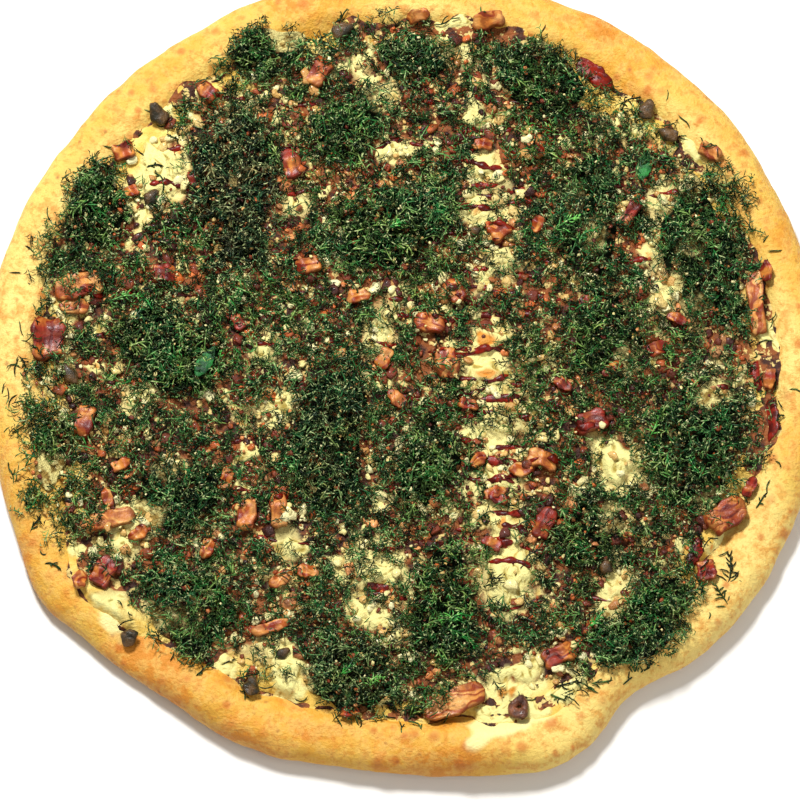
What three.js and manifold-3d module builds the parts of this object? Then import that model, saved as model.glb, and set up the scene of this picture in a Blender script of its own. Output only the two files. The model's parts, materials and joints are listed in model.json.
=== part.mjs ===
// A whole bacon pizza, uncut: a thin hand-stretched crust with a low browned rim, a sheet of melted
// cheese with lumps and a thick dark sauce drizzle, pieces of bacon, slices of mushroom, small leaves,
// and clumps of chopped dill.  Millimetres, +Z up, the flat underside of the crust on z = 0.
import * as THREE from "three";
import { mergeVertices } from "three/addons/utils/BufferGeometryUtils.js";
import Module from "manifold-3d";

const wasm = await Module();
wasm.setup();

// ---- Driving dimensions -------------------------------------------------------------------------
const PIZZA_RADIUS = 160; // mean radius of the outline: a 32 cm pizza
const RIM_HEIGHT = 12.6; // top of the rim above the underside
const RIM_HALF_WIDTH = 9.5; // from the outer edge to the top of the rim
const RIM_TOP_WIDTH = 3.5; // the nearly flat top
const RIM_GIRTH_HEIGHT = 4.6; // height of the widest point of the rim
const RIM_SLOPE_WIDTH = 13; // from there down to the baked floor
const FLOOR_HEIGHT = 6.2; // thickness of the dough under the toppings
const CHEESE_THICKNESS = 2.2; // the melted sheet, without its lumps
const CHEESE_INSET = 17.5; // mean distance from the outline to the edge of the cheese
const CHEESE_LUMP_HEIGHT = 2.4; // how far a mean lump stands out of the sheet
const BACON_THICKNESS = 3.4;
const MUSHROOM_THICKNESS = 4.2;
const LEAF_THICKNESS = 0.9;
const SAUCE_RADIUS = 1.7; // the drizzle's bead, half sunk in the cheese
const DILL_RADIUS = 0.62; // one thread of dill
const DILL_THREAD_LENGTH = 9;
const DILL_THREAD_SPACING = 18.6; // along the edge of a clump
const GAP = 0.34; // between two pieces that touch
const UNDER_CHEESE = 0.75; // between the dough and the cheese, whose facets cross on the rim's slope
const CLEARANCE = 0.5; // between the underside of a loose topping and the cheese it lies on
const SLOPE_START = RIM_HALF_WIDTH + RIM_TOP_WIDTH;
const CHEESE_TOP = FLOOR_HEIGHT + UNDER_CHEESE + CHEESE_THICKNESS;

// ---- Facets -------------------------------------------------------------------------------------
const ROUND_SEGMENTS = 60; // round the pizza
const RIM_STEPS = 3; // in the lower outer quarter of the rim, one more in the upper one
const SLOPE_STEPS = 3; // down the inner side of the rim

// ---- Colours ------------------------------------------------------------------------------------
const CRUST_COLOUR = "#f0c070";
const CHEESE_COLOUR = "#f2ecb4";
const BACON_COLOUR = "#c9684f";
const MUSHROOM_COLOUR = "#6b4528";
const LEAF_COLOUR = "#2f7a2c";
const DILL_COLOUR = "#24482a";

// ---- Numbers ------------------------------------------------------------------------------------
const TURN = 2 * Math.PI;
const radians = THREE.MathUtils.degToRad;
const mix = THREE.MathUtils.lerp;
const smooth = (x, low, high) => THREE.MathUtils.smoothstep(x, low, high);

// A repeatable stream of numbers from 0 to 1.
function dice(seed) {
  let state = seed * 7919 + 17;
  return () => {
    state = (state * 16807) % 2147483647;
    return state / 2147483647;
  };
}

// A soft bump round a direction: its height at the angle, from its middle and half width in degrees.
function bumpAt(angle, middle, halfWidth, height) {
  const away = Math.atan2(Math.sin(angle - radians(middle)), Math.cos(angle - radians(middle)));
  return height * Math.exp(-((away / radians(halfWidth)) ** 2));
}

// Unevenness round a ring: a few waves of different counts.
function waves(angle, ...terms) {
  return terms.reduce((sum, [count, size, phase]) => sum + size * Math.sin(count * angle + phase), 0);
}

// ---- The outline and the rim --------------------------------------------------------------------
// The dough bulges at the front right, is pinched in beside that, and is a little flat at the front left.
function outlineRadius(angle) {
  return (
    PIZZA_RADIUS +
    waves(angle, [3, 0.7, 0.4], [7, 0.5, 1.9], [11, 0.4, 0.6]) +
    bumpAt(angle, 290, 9, 5.2) +
    bumpAt(angle, 304.5, 8, -8.2) +
    bumpAt(angle, 262, 13, -4.6) +
    bumpAt(angle, 236, 8, -3.6) +
    bumpAt(angle, 213, 7, 5) +
    bumpAt(angle, 62, 14, 1.6) +
    bumpAt(angle, 140, 12, -1.5)
  );
}

// The rim is higher where the dough puffed up in the oven.
function rimSwell(angle) {
  return (
    1 +
    waves(angle, [4, 0.05, 1.1], [9, 0.05, 2.3], [17, 0.04, 0.2]) +
    bumpAt(angle, 245, 8, 0.12) +
    bumpAt(angle, 283, 9, 0.1) +
    bumpAt(angle, 20, 10, 0.1) +
    bumpAt(angle, 226, 4, -0.16)
  );
}

// Height of the dough at a distance inwards from the outline, on the inner side of the rim's top.
function innerSlope(inwards, swell) {
  const down = smooth(inwards, SLOPE_START, SLOPE_START + RIM_SLOPE_WIDTH);
  return mix(RIM_HEIGHT * swell, FLOOR_HEIGHT, down);
}

// The same height on the faceted slope, which runs straight between the rows of its corners.
function doughSlope(inwards, swell) {
  const step = RIM_SLOPE_WIDTH / SLOPE_STEPS;
  const row = THREE.MathUtils.clamp(Math.floor((inwards - SLOPE_START) / step), 0, SLOPE_STEPS - 1);
  const start = SLOPE_START + row * step;
  const share = THREE.MathUtils.clamp((inwards - start) / step, 0, 1);
  return mix(innerSlope(start, swell), innerSlope(start + step, swell), share);
}

// The edge of the cheese wanders in and out on the slope of the rim.
function cheeseRadius(angle) {
  const wander = waves(angle, [5, 1.9, 0.8], [8, 1.4, 2.7], [13, 1.2, 4.2]);
  return outlineRadius(angle) - CHEESE_INSET + wander + bumpAt(angle, 221, 9, 7);
}

// Height of the cheese's top, without its lumps: flat, with a low swell, and climbing at the rim.
function cheeseHeight(reach, angle) {
  const share = reach / cheeseRadius(angle);
  const relief = share * waves(angle, [6, 0.2, 0.9], [14, 0.15, 2 + 6 * share]);
  const slope = innerSlope(outlineRadius(angle) - reach, rimSwell(angle)) + 1.1;
  return Math.max(CHEESE_TOP + relief, mix(CHEESE_TOP, slope, smooth(share, 0.86, 0.97)));
}

// Height of what a topping lies on: the cheese, and past its edge the bare dough.
function groundHeight(x, y) {
  const [reach, angle] = [Math.hypot(x, y), Math.atan2(y, x)];
  if (reach < cheeseRadius(angle)) return cheeseHeight(reach, angle);
  const inwards = outlineRadius(angle) - reach;
  const outside = Math.max(0, 1 - inwards / RIM_HALF_WIDTH);
  const rim = RIM_HEIGHT * rimSwell(angle) * Math.sqrt(Math.max(0, 1 - outside * outside));
  return inwards < RIM_HALF_WIDTH ? rim : innerSlope(inwards, rimSwell(angle));
}

// ---- Solids -------------------------------------------------------------------------------------
// A closed geometry as a solid: shared corners are merged, and faces that have shrunk to a line go.
function solidOf(geometry) {
  geometry.deleteAttribute("normal");
  geometry.deleteAttribute("uv");
  const merged = mergeVertices(geometry, 1e-4);
  const kept = [];
  const index = merged.index.array;
  for (let i = 0; i < index.length; i += 3) {
    const [a, b, c] = [index[i], index[i + 1], index[i + 2]];
    if (a !== b && b !== c && c !== a) kept.push(a, b, c);
  }
  const solid = new wasm.Manifold(
    new wasm.Mesh({
      numProp: 3,
      vertProperties: merged.attributes.position.array,
      triVerts: new Uint32Array(kept),
    }),
  );
  if (solid.volume() <= 0) throw new Error("a solid is inside out");
  return solid;
}

// The largest body of a solid: cutting can leave loose scraps, which are dropped.
function largest(solid) {
  return solid.decompose().reduce((best, body) => (body.volume() > best.volume() ? body : best));
}

// Each corner of a geometry moved by a rule from (x, y, z) to [x, y, z].
function reshape(geometry, rule) {
  const corner = geometry.attributes.position;
  for (let i = 0; i < corner.count; i++) {
    corner.setXYZ(i, ...rule(corner.getX(i), corner.getY(i), corner.getZ(i)));
  }
  return geometry;
}

// A piece turned about the vertical, moved to its place, and bent to follow what lies under it.
function settled(geometry, { x: middleX, y: middleY, turn = 0 }) {
  geometry.rotateZ(radians(turn)).translate(middleX, middleY, 0);
  return reshape(geometry, (x, y, z) => [x, y, z + groundHeight(x, y)]);
}

function lathe(profile, segments) {
  const points = profile.map(([radius, height]) => new THREE.Vector2(radius, height));
  return new THREE.LatheGeometry(points, segments).rotateX(Math.PI / 2);
}

// ---- Crust --------------------------------------------------------------------------------------

// The rim's section, from the underside round the outer edge and down to the floor.
function rimProfile(raise = 0) {
  const rows = [];
  for (let i = 0; i <= RIM_STEPS; i++) {
    const a = (Math.PI / 2) * (i / RIM_STEPS - 1);
    rows.push([RIM_HALF_WIDTH * (1 - Math.cos(a)), RIM_GIRTH_HEIGHT * (1 + Math.sin(a))]);
  }
  for (let i = 1; i <= RIM_STEPS + 1; i++) {
    const a = (Math.PI / 2) * (i / (RIM_STEPS + 1));
    const rise = RIM_HEIGHT - RIM_GIRTH_HEIGHT;
    rows.push([RIM_HALF_WIDTH * (1 - Math.cos(a)), RIM_GIRTH_HEIGHT + rise * Math.sin(a)]);
  }
  for (let i = 0; i <= SLOPE_STEPS; i++) {
    const inwards = SLOPE_START + (RIM_SLOPE_WIDTH * i) / SLOPE_STEPS;
    rows.push([inwards, innerSlope(inwards, 1)]);
  }
  return rows.map(([inwards, height]) => [PIZZA_RADIUS - inwards, height + raise]);
}

function crustSolid(raise = 0) {
  const profile = [[0, raise], ...rimProfile(raise), [0, FLOOR_HEIGHT + raise]];
  const inner = PIZZA_RADIUS - SLOPE_START - RIM_SLOPE_WIDTH;
  const swollen = (angle, height) => {
    const share = Math.max(0, height - raise - FLOOR_HEIGHT) / (RIM_HEIGHT - FLOOR_HEIGHT);
    return height + share * RIM_HEIGHT * (rimSwell(angle) - 1);
  };
  return solidOf(
    reshape(lathe(profile, ROUND_SEGMENTS), (x, y, z) => {
      const radius = Math.hypot(x, y);
      const angle = Math.atan2(y, x);
      const outwards = outlineRadius(angle) - PIZZA_RADIUS;
      const reach = radius + outwards * smooth(radius, inner - 20, inner);
      return [reach * Math.cos(angle), reach * Math.sin(angle), swollen(angle, z)];
    }),
  );
}

// ---- Cheese, with its lumps and the drizzle -----------------------------------------------------
// Lumps of melted cheese: middle, half length, half width, turn in degrees, height over the mean lump's.
const LUMPS = [
  { x: -95, y: 80, long: 12, wide: 7, turn: 80, tall: 1 },
  { x: -14, y: 114, long: 7, wide: 4.5, turn: 60, tall: 0.8 },
  { x: 26, y: 104, long: 5.5, wide: 5, turn: 100, tall: 0.9 },
  { x: 30, y: 83, long: 7, wide: 4.5, turn: 10, tall: 0.9 },
  { x: 27, y: 64, long: 7, wide: 4.5, turn: 160, tall: 1 },
  { x: 36, y: 43, long: 8, wide: 5.5, turn: 30, tall: 1 },
  { x: 32, y: 13, long: 9, wide: 5, turn: 0, tall: 1.1 },
  { x: 33, y: -1, long: 8, wide: 6, turn: 15, tall: 1.1 },
  { x: 38, y: -22, long: 10, wide: 5, turn: 175, tall: 1 },
  { x: 37, y: -60, long: 7, wide: 5, turn: 150, tall: 1 },
  { x: 39, y: -81, long: 11, wide: 9.5, turn: 30, tall: 1.3 },
  { x: 81, y: -37, long: 9, wide: 8, turn: 90, tall: 1.5 },
  { x: -54, y: 8, long: 6, wide: 5, turn: 70, tall: 0.9 },
  { x: -10, y: 16, long: 10, wide: 5.5, turn: 80, tall: 0.9 },
  { x: -43, y: -70, long: 7, wide: 6, turn: 120, tall: 1 },
  { x: -15, y: -80, long: 12, wide: 7, turn: 165, tall: 1.1 },
  { x: -108, y: -94, long: 12, wide: 6, turn: 140, tall: 1 },
  { x: -45, y: -121, long: 12, wide: 8, turn: 85, tall: 1.4 },
  { x: 42, y: -119, long: 10, wide: 4.5, turn: 10, tall: 0.9 },
];

const LUMP_SEGMENTS = 6;
const LUMP_PROFILE = [
  [0, -0.12],
  [1, -0.12],
  [0.88, 0.4],
  [0.5, 0.88],
  [0, 1],
];

// The drizzle where it shows between the toppings: middle of each stretch, length, turn, thickness.
const DRIZZLE = [
  { x: 73, y: 114, length: 13, turn: -35, thick: 1.35 },
  { x: 33, y: 22, length: 22, turn: -3, thick: 0.9 },
  { x: 36, y: -11, length: 22, turn: 5, thick: 1 },
  { x: 36, y: -36, length: 20, turn: -6, thick: 1.1 },
  { x: -11, y: -92, length: 16, turn: -8, thick: 1 },
  { x: 137, y: -14, length: 26, turn: 100, thick: 1.4 },
  { x: 112, y: -72, length: 14, turn: 75, thick: 1.4 },
];
const SAUCE_SUNK = 0.3; // height of the bead's middle over the cheese
const SAUCE_SIDES = 4;
const SAUCE_STEPS = 3;

// The underside of the sheet follows the facets of the slope: the foot of the slope, its next row,
// a row at its last kink where the sheet reaches past that, and the sheet's edge.
function undersideReach(row, angle) {
  const [edge, outline] = [cheeseRadius(angle), outlineRadius(angle)];
  const step = RIM_SLOPE_WIDTH / SLOPE_STEPS;
  const foot = outline - SLOPE_START - RIM_SLOPE_WIDTH;
  const kink = outline - SLOPE_START - step;
  const last = edge > kink + step / 4 ? kink : mix(foot + step, edge, 0.5);
  return [0, foot, foot + step, last, edge][row];
}

function cheeseSheet(grow) {
  const [underside, top] = [0, 1];
  const undersideRows = [0, 1, 2, 3, 4].map((row) => [row / 4, underside]);
  const topRows = [1, 0.955, 0.87, 0].map((share) => [share, top]);
  return solidOf(
    reshape(lathe([...undersideRows, ...topRows], ROUND_SEGMENTS), (x, y, level) => {
      const [share, angle] = [Math.hypot(x, y), Math.atan2(y, x)];
      const over = level === top;
      const reach = over ? share * cheeseRadius(angle) : undersideReach(Math.round(4 * share), angle);
      const dough = doughSlope(outlineRadius(angle) - reach, rimSwell(angle)) + UNDER_CHEESE;
      const wide = reach + share * grow;
      const height = over ? cheeseHeight(reach, angle) + grow : dough;
      return [wide * Math.cos(angle), wide * Math.sin(angle), height];
    }),
  );
}

// A low dome with a sagging outline, sunk into the sheet.
function lumpSolid(lump, grow) {
  const dome = reshape(lathe(LUMP_PROFILE, LUMP_SEGMENTS), (x, y, z) => {
    const sag = 1 + 0.14 * Math.sin(3 * Math.atan2(y, x) + lump.x);
    const height = CHEESE_LUMP_HEIGHT * lump.tall + grow;
    return [x * sag * (lump.long + grow), y * sag * (lump.wide + grow), z * height];
  });
  return solidOf(settled(dome, lump));
}

// One stretch of drizzle: a round bead that swings a little from side to side.
function drizzleSolid(stretch, grow) {
  const radius = SAUCE_RADIUS * stretch.thick + grow;
  const points = [-0.5, -0.2, 0.15, 0.5].map(
    (share, i) => new THREE.Vector3(share * (stretch.length + 2 * grow), i % 2 ? 1.1 : -0.9, SAUCE_SUNK),
  );
  return solidOf(settled(tube(points, radius, SAUCE_SIDES, SAUCE_STEPS), stretch));
}

// A tube of few sides along a smooth curve, with its ends closed.
function tube(points, radius, sides, steps) {
  const section = new THREE.Shape();
  for (let i = 0; i < sides; i++) {
    const a = (TURN * i) / sides;
    const [x, y] = [radius * Math.cos(a), radius * Math.sin(a)];
    if (i === 0) section.moveTo(x, y);
    else section.lineTo(x, y);
  }
  const path = new THREE.CatmullRomCurve3(points);
  return new THREE.ExtrudeGeometry(section, { steps, bevelEnabled: false, extrudePath: path });
}

function cheeseSolid(grow = 0) {
  const lumps = LUMPS.map((lump) => lumpSolid(lump, grow));
  const sauce = DRIZZLE.map((stretch) => drizzleSolid(stretch, grow));
  return [...lumps, ...sauce].reduce((whole, piece) => whole.add(piece), cheeseSheet(grow));
}

// ---- Bacon --------------------------------------------------------------------------------------
// Each piece: middle, length, width, turn in degrees, and how far it arches up in the middle.
const BACON = [
  { x: -125, y: 33, long: 20, wide: 11, turn: 15, arch: 1.2 },
  { x: -136, y: 12, long: 17, wide: 14, turn: 95, arch: 0.8 },
  { x: -122, y: -21, long: 13, wide: 8, turn: 75, arch: 1.4 },
  { x: -113, y: -60, long: 22, wide: 8, turn: 14, arch: 1.5 },
  { x: -114, y: -80, long: 13, wide: 9, turn: 60, arch: 0.7 },
  { x: -108, y: 87, long: 9, wide: 7, turn: 20, arch: 0.5 },
  { x: -76, y: 111, long: 9, wide: 7, turn: 140, arch: 0.6 },
  { x: -33, y: 119, long: 13, wide: 8, turn: 60, arch: 1 },
  { x: -44, y: 82, long: 12, wide: 9, turn: 110, arch: 0.8 },
  { x: 32, y: 139, long: 13, wide: 7, turn: 10, arch: 0.9 },
  { x: 50, y: 89, long: 10, wide: 8, turn: 100, arch: 1 },
  { x: 36, y: 55, long: 9, wide: 8, turn: 40, arch: 1 },
  { x: 19, y: 31, long: 10, wide: 8, turn: 120, arch: 0.7 },
  { x: 9, y: 18, long: 13, wide: 8, turn: 170, arch: 1.2 },
  { x: 16, y: 2, long: 13, wide: 10, turn: 100, arch: 1.2 },
  { x: -37, y: 41, long: 10, wide: 7, turn: 20, arch: 0.8 },
  { x: -92, y: 38, long: 9, wide: 8, turn: 0, arch: 0.6 },
  { x: -60, y: -58, long: 13, wide: 8, turn: 80, arch: 1 },
  { x: -48, y: -56, long: 14, wide: 7, turn: 95, arch: 1.3 },
  { x: 52, y: -36, long: 12, wide: 8, turn: 165, arch: 1.4 },
  { x: 53, y: -61, long: 13, wide: 8, turn: 65, arch: 1 },
  { x: 71, y: -21, long: 13, wide: 9, turn: 20, arch: 1.1 },
  { x: 87, y: 63, long: 15, wide: 5.5, turn: 60, arch: 1.2 },
  { x: 117, y: 86, long: 10, wide: 6, turn: 150, arch: 0.6 },
  { x: 134, y: 26, long: 26, wide: 7, turn: 95, arch: 1 },
  { x: 122, y: -58, long: 17, wide: 12, turn: 35, arch: 1.6 },
  { x: 114, y: -80, long: 9, wide: 8, turn: 100, arch: 0.7 },
  { x: 58, y: -113, long: 14, wide: 8, turn: 25, arch: 1.1 },
  { x: 19, y: -131, long: 26, wide: 11, turn: 24, arch: 1.5 },
];
const BACON_GRID = [4, 2, 1]; // cells along, across and through a piece

// A slice with uneven edges that arches and ripples along its length.
function baconSolid(slice, grow = 0) {
  const size = [slice.long + 2 * grow, slice.wide + 2 * grow, BACON_THICKNESS + 2 * grow];
  const slab = reshape(new THREE.BoxGeometry(...size, ...BACON_GRID), (x, y, z) => {
    const [along, across] = [x / size[0], y / size[1]];
    const nibble = 1 - 0.18 * Math.abs(Math.sin(5 * along + slice.x));
    const shrink = 1 - 0.1 * Math.sin(4 * across + slice.x) ** 2;
    const lift = slice.arch * (1 - 4 * along * along) + 0.5 * Math.sin(9 * along + slice.y);
    return [x * shrink, y * nibble, z + Math.max(lift, 0) + BACON_THICKNESS / 2 + CLEARANCE];
  });
  return solidOf(settled(slab, slice));
}

// ---- Mushroom -----------------------------------------------------------------------------------
// Each slice: middle, length, width and turn; a ring is the curled skin of a cap.
const MUSHROOMS = [
  { x: -95, y: 102, long: 9, wide: 6.5, turn: 120 },
  { x: -24, y: 136, long: 9, wide: 5.5, turn: 20 },
  { x: 93, y: 104, long: 8, wide: 6, turn: 60 },
  { x: -104, y: -106, long: 7, wide: 6, turn: 30 },
  { x: -58, y: -125, long: 8, wide: 6, turn: 80 },
  { x: 43, y: -133, long: 9.5, wide: 8, turn: 70, ring: true },
];

function mushroomSolid(slice, grow = 0) {
  const [long, wide] = [slice.long / 2 + grow, slice.wide / 2 + grow];
  const thick = MUSHROOM_THICKNESS / 2 + grow;
  const tubeShare = slice.ring ? 0.42 : 0;
  const body = slice.ring
    ? new THREE.TorusGeometry(1 - tubeShare, tubeShare, 4, 9)
    : new THREE.SphereGeometry(1, 8, 5).rotateX(Math.PI / 2);
  reshape(body, (x, y, z) => {
    const taper = 1 - 0.35 * x;
    const height = (z * thick) / (slice.ring ? tubeShare : 1);
    return [x * long, y * wide * taper, height + MUSHROOM_THICKNESS / 2 + CLEARANCE];
  });
  return solidOf(settled(body, slice));
}

// ---- Leaves -------------------------------------------------------------------------------------
const LEAVES = [
  { x: 92, y: 82, long: 13, wide: 6, turn: 75, lift: 1.6 },
  { x: -76, y: 2, long: 14, wide: 6, turn: 60, lift: 6 },
];
const LEAF_GRID = [5, 2, 1];

// A thin blade, widest before its middle, that ripples along its length.
function leafSolid(leaf, grow = 0) {
  const size = [leaf.long + 2 * grow, leaf.wide + 2 * grow, LEAF_THICKNESS + 2 * grow];
  const blade = reshape(new THREE.BoxGeometry(...size, ...LEAF_GRID), (x, y, z) => {
    const along = Math.max(0, x / size[0] + 0.5);
    const width = 0.12 + 0.88 * Math.sin(Math.PI * along ** 0.8);
    const ripple = 0.5 * Math.sin(TURN * along) - 0.35 * ((2 * y) / size[1]) ** 2;
    return [x, y * width, z + ripple + leaf.lift];
  });
  return solidOf(settled(blade, leaf));
}

// ---- Dill ---------------------------------------------------------------------------------------
// Each clump of chopped dill: middle, half length, half width, turn in degrees, height over the cheese.
const DILL = [
  { x: -118, y: 64, long: 18, wide: 14, turn: 85, tall: 5.5 },
  { x: -65, y: 73, long: 38, wide: 17, turn: 92, tall: 5.8 },
  { x: -52, y: 127, long: 17, wide: 10, turn: 20, tall: 4.8 },
  { x: -22, y: 97, long: 16, wide: 14, turn: 60, tall: 5 },
  { x: -6, y: 57, long: 24, wide: 19, turn: 0, tall: 6.4 },
  { x: 6, y: 126, long: 18, wide: 11, turn: 0, tall: 4.6 },
  { x: 52, y: 115, long: 19, wide: 15, turn: 155, tall: 6 },
  { x: 69, y: 60, long: 30, wide: 14, turn: 92, tall: 5.4 },
  { x: 113, y: 46, long: 34, wide: 16, turn: 98, tall: 6 },
  { x: 110, y: -28, long: 30, wide: 19, turn: 84, tall: 6.4 },
  { x: 90, y: -99, long: 24, wide: 15, turn: 45, tall: 6 },
  { x: 14, y: -93, long: 24, wide: 15, turn: 85, tall: 5.4 },
  { x: -20, y: -121, long: 19, wide: 15, turn: 0, tall: 6.4 },
  { x: -82, y: -94, long: 21, wide: 17, turn: 120, tall: 6 },
  { x: -87, y: -49, long: 20, wide: 17, turn: 10, tall: 5.4 },
  { x: -134, y: -33, long: 18, wide: 7, turn: 80, tall: 4.2 },
  { x: -90, y: 8, long: 26, wide: 18, turn: 150, tall: 5.4 },
  { x: -29, y: -28, long: 32, wide: 17, turn: 88, tall: 5.6 },
  { x: 77, y: 14, long: 18, wide: 16, turn: 100, tall: 5.2 },
  { x: 8, y: -38, long: 19, wide: 14, turn: 80, tall: 5 },
  { x: 71, y: -63, long: 18, wide: 13, turn: 80, tall: 5.2 },
];
const DILL_SEGMENTS = 12;
const DILL_PROFILE = [
  [0, 0],
  [1, 0],
  [0.95, 0.5],
  [0.66, 0.88],
  [0, 1],
];

// The uneven outline of a clump, as a share of its ellipse.
function clumpShare(clump, angle) {
  return 1 + waves(angle, [2, 0.07, clump.x], [3, 0.1, clump.y], [5, 0.08, clump.x + clump.y]);
}

function clumpCore(clump, grow) {
  const core = reshape(lathe(DILL_PROFILE, DILL_SEGMENTS), (x, y, z) => {
    const share = clumpShare(clump, Math.atan2(y, x));
    const height = z * (1 + 0.14 * Math.sin(5 * x + clump.x) * Math.cos(4 * y + clump.y));
    return [
      x * share * (clump.long + grow),
      y * share * (clump.wide + grow),
      CLEARANCE - grow + height * (clump.tall + 2 * grow - CLEARANCE),
    ];
  });
  return solidOf(settled(core, clump));
}

// Threads that stick out of the clump's edge and lie down on what is beside it, and threads that
// loop over its top.
function clumpThreads(clump, grow, seed) {
  const roll = dice(seed);
  const perimeter = Math.PI * (clump.long + clump.wide);
  const count = Math.round(perimeter / DILL_THREAD_SPACING);
  const onClump = (angle, share, height) =>
    new THREE.Vector3(
      share * clumpShare(clump, angle) * clump.long * Math.cos(angle),
      share * clumpShare(clump, angle) * clump.wide * Math.sin(angle),
      height,
    );
  const threads = [];
  for (let i = 0; i < count; i++) {
    const angle = (TURN * (i + 0.7 * roll())) / count;
    const side = angle + 0.7 * (roll() - 0.5);
    const length = DILL_THREAD_LENGTH * mix(0.6, 1.1, roll());
    const overTop = i % 3 === 2;
    const start = onClump(angle, overTop ? 0.45 : 0.7, clump.tall * 0.6);
    const out = onClump(side, 1, 0).normalize().multiplyScalar(length);
    const middle = onClump(side, overTop ? 0.72 : 1, clump.tall * (overTop ? 1.16 : 0.62));
    const end = overTop
      ? onClump(side + 0.25, 0.95, clump.tall * 0.8)
      : onClump(side, 1, 0.22 * clump.tall).add(out.setZ(0));
    threads.push(tube([start, middle, end], DILL_RADIUS + grow, 3, overTop ? 3 : 2));
  }
  return threads.map((thread) => solidOf(settled(thread, clump)));
}

function dillSolid(clump, seed, grow = 0) {
  return clumpThreads(clump, grow, seed).reduce(
    (whole, thread) => whole.add(thread),
    clumpCore(clump, grow),
  );
}

// ---- Putting the pizza together -----------------------------------------------------------------
const pizza = new THREE.Group();
pizza.name = "bacon_pizza";

// What is already laid down, a little larger than life: each later piece is cut clear of it.
const laid = [crustSolid(GAP)];

function cutClear(solid) {
  return largest(laid.reduce((left, obstacle) => left.subtract(obstacle), solid));
}

function addNode(name, solid, colour, roughness) {
  const mesh = solid.getMesh();
  const corners = new Float32Array(mesh.numVert * 3);
  for (let i = 0; i < mesh.numVert; i++) {
    corners.set(mesh.vertProperties.subarray(i * mesh.numProp, i * mesh.numProp + 3), i * 3);
  }
  const geometry = new THREE.BufferGeometry()
    .setAttribute("position", new THREE.BufferAttribute(corners, 3))
    .setIndex(new THREE.BufferAttribute(mesh.triVerts, 1));
  geometry.computeVertexNormals();
  const material = new THREE.MeshStandardMaterial({ color: colour, roughness, metalness: 0 });
  const node = new THREE.Mesh(geometry, material);
  node.name = name;
  pizza.add(node);
}

const numbered = (kind, i) => kind + "_" + String(i + 1).padStart(2, "0");

// Lays a row of like pieces: each is cut clear of what lies there, and then the next ones of it.
function layRow(kind, row, make, colour, roughness) {
  row.forEach((piece, i) => {
    addNode(numbered(kind, i), cutClear(make(piece, 0, i)), colour, roughness);
    laid.push(make(piece, GAP, i));
  });
}

addNode("crust", crustSolid(), CRUST_COLOUR, 0.8);
addNode("cheese", cutClear(cheeseSolid()), CHEESE_COLOUR, 0.45);
laid.push(cheeseSolid(GAP));
layRow("bacon", BACON, baconSolid, BACON_COLOUR, 0.5);
layRow("mushroom", MUSHROOMS, mushroomSolid, MUSHROOM_COLOUR, 0.5);
layRow("leaf", LEAVES, leafSolid, LEAF_COLOUR, 0.6);
layRow("dill", DILL, (clump, grow, i) => dillSolid(clump, i + 1, grow), DILL_COLOUR, 0.7);

// The origin is at the middle of the underside.
const box = new THREE.Box3().setFromObject(pizza);
const middle = box.getCenter(new THREE.Vector3());
pizza.position.set(-middle.x, -middle.y, 0);

export default pizza;
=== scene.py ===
# %% [markdown]
# # A bacon pizza
#
# A whole pizza, 32 cm across: thin browned crust, melted cheese with lumps, pieces of bacon, slices of
# dried mushroom, a dark sweet sauce drizzled in lines from side to side, and a great deal of chopped
# dill on top.  The solid model already holds the main forms.  This script dresses them: it reads the
# solid model as a fixed frame and makes each piece again, finer, in the place where the solid lies.

# %% Load the solid model
import json
import math

import bpy
import numpy as np
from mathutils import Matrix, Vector

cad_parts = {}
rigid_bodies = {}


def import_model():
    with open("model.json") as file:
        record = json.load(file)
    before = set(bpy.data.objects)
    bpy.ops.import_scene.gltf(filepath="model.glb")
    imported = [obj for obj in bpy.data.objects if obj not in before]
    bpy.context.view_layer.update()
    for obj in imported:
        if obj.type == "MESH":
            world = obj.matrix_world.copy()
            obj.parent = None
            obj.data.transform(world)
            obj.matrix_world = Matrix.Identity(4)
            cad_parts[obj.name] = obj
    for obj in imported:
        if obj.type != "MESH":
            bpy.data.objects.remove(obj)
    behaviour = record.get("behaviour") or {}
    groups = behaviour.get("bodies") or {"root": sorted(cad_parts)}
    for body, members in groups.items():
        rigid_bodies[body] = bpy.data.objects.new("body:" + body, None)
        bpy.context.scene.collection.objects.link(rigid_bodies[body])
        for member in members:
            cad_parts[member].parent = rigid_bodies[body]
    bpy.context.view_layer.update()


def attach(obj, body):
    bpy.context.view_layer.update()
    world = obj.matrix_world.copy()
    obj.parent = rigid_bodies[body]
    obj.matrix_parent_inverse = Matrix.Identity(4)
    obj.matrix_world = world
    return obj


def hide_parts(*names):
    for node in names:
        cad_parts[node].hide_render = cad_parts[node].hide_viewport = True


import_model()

# %% [markdown]
# ## The rules of the shape
#
# A round thing that is a little uneven is easiest to describe round its middle: how far the edge is, and
# how high the surface lies, for every direction.  A few waves of different counts give the wander of the
# edge, and soft bumps give the places where the dough swelled or was pinched.  All sizes are in
# millimetres here, and become metres only when a mesh is made.

# %% Sizes of the pizza
MM = 0.001
PIZZA_RADIUS = 160.0
RIM_HEIGHT = 12.6
RIM_HALF_WIDTH = 9.5
RIM_GIRTH_HEIGHT = 4.6
SLOPE_START = RIM_HALF_WIDTH + 3.5
SLOPE_WIDTH = 13.0
FLOOR_HEIGHT = 6.2
CHEESE_INSET = 17.5
SAUCE_BED, CHEESE_THICKNESS = 0.75, 2.2
CHEESE_TOP = FLOOR_HEIGHT + SAUCE_BED + CHEESE_THICKNESS
LUMP_HEIGHT = 2.4
CLEARANCE = 0.5

# %% Waves, bumps and soft steps


def waves(angle, *terms):
    return sum(size * np.sin(count * angle + phase) for count, size, phase in terms)


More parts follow.
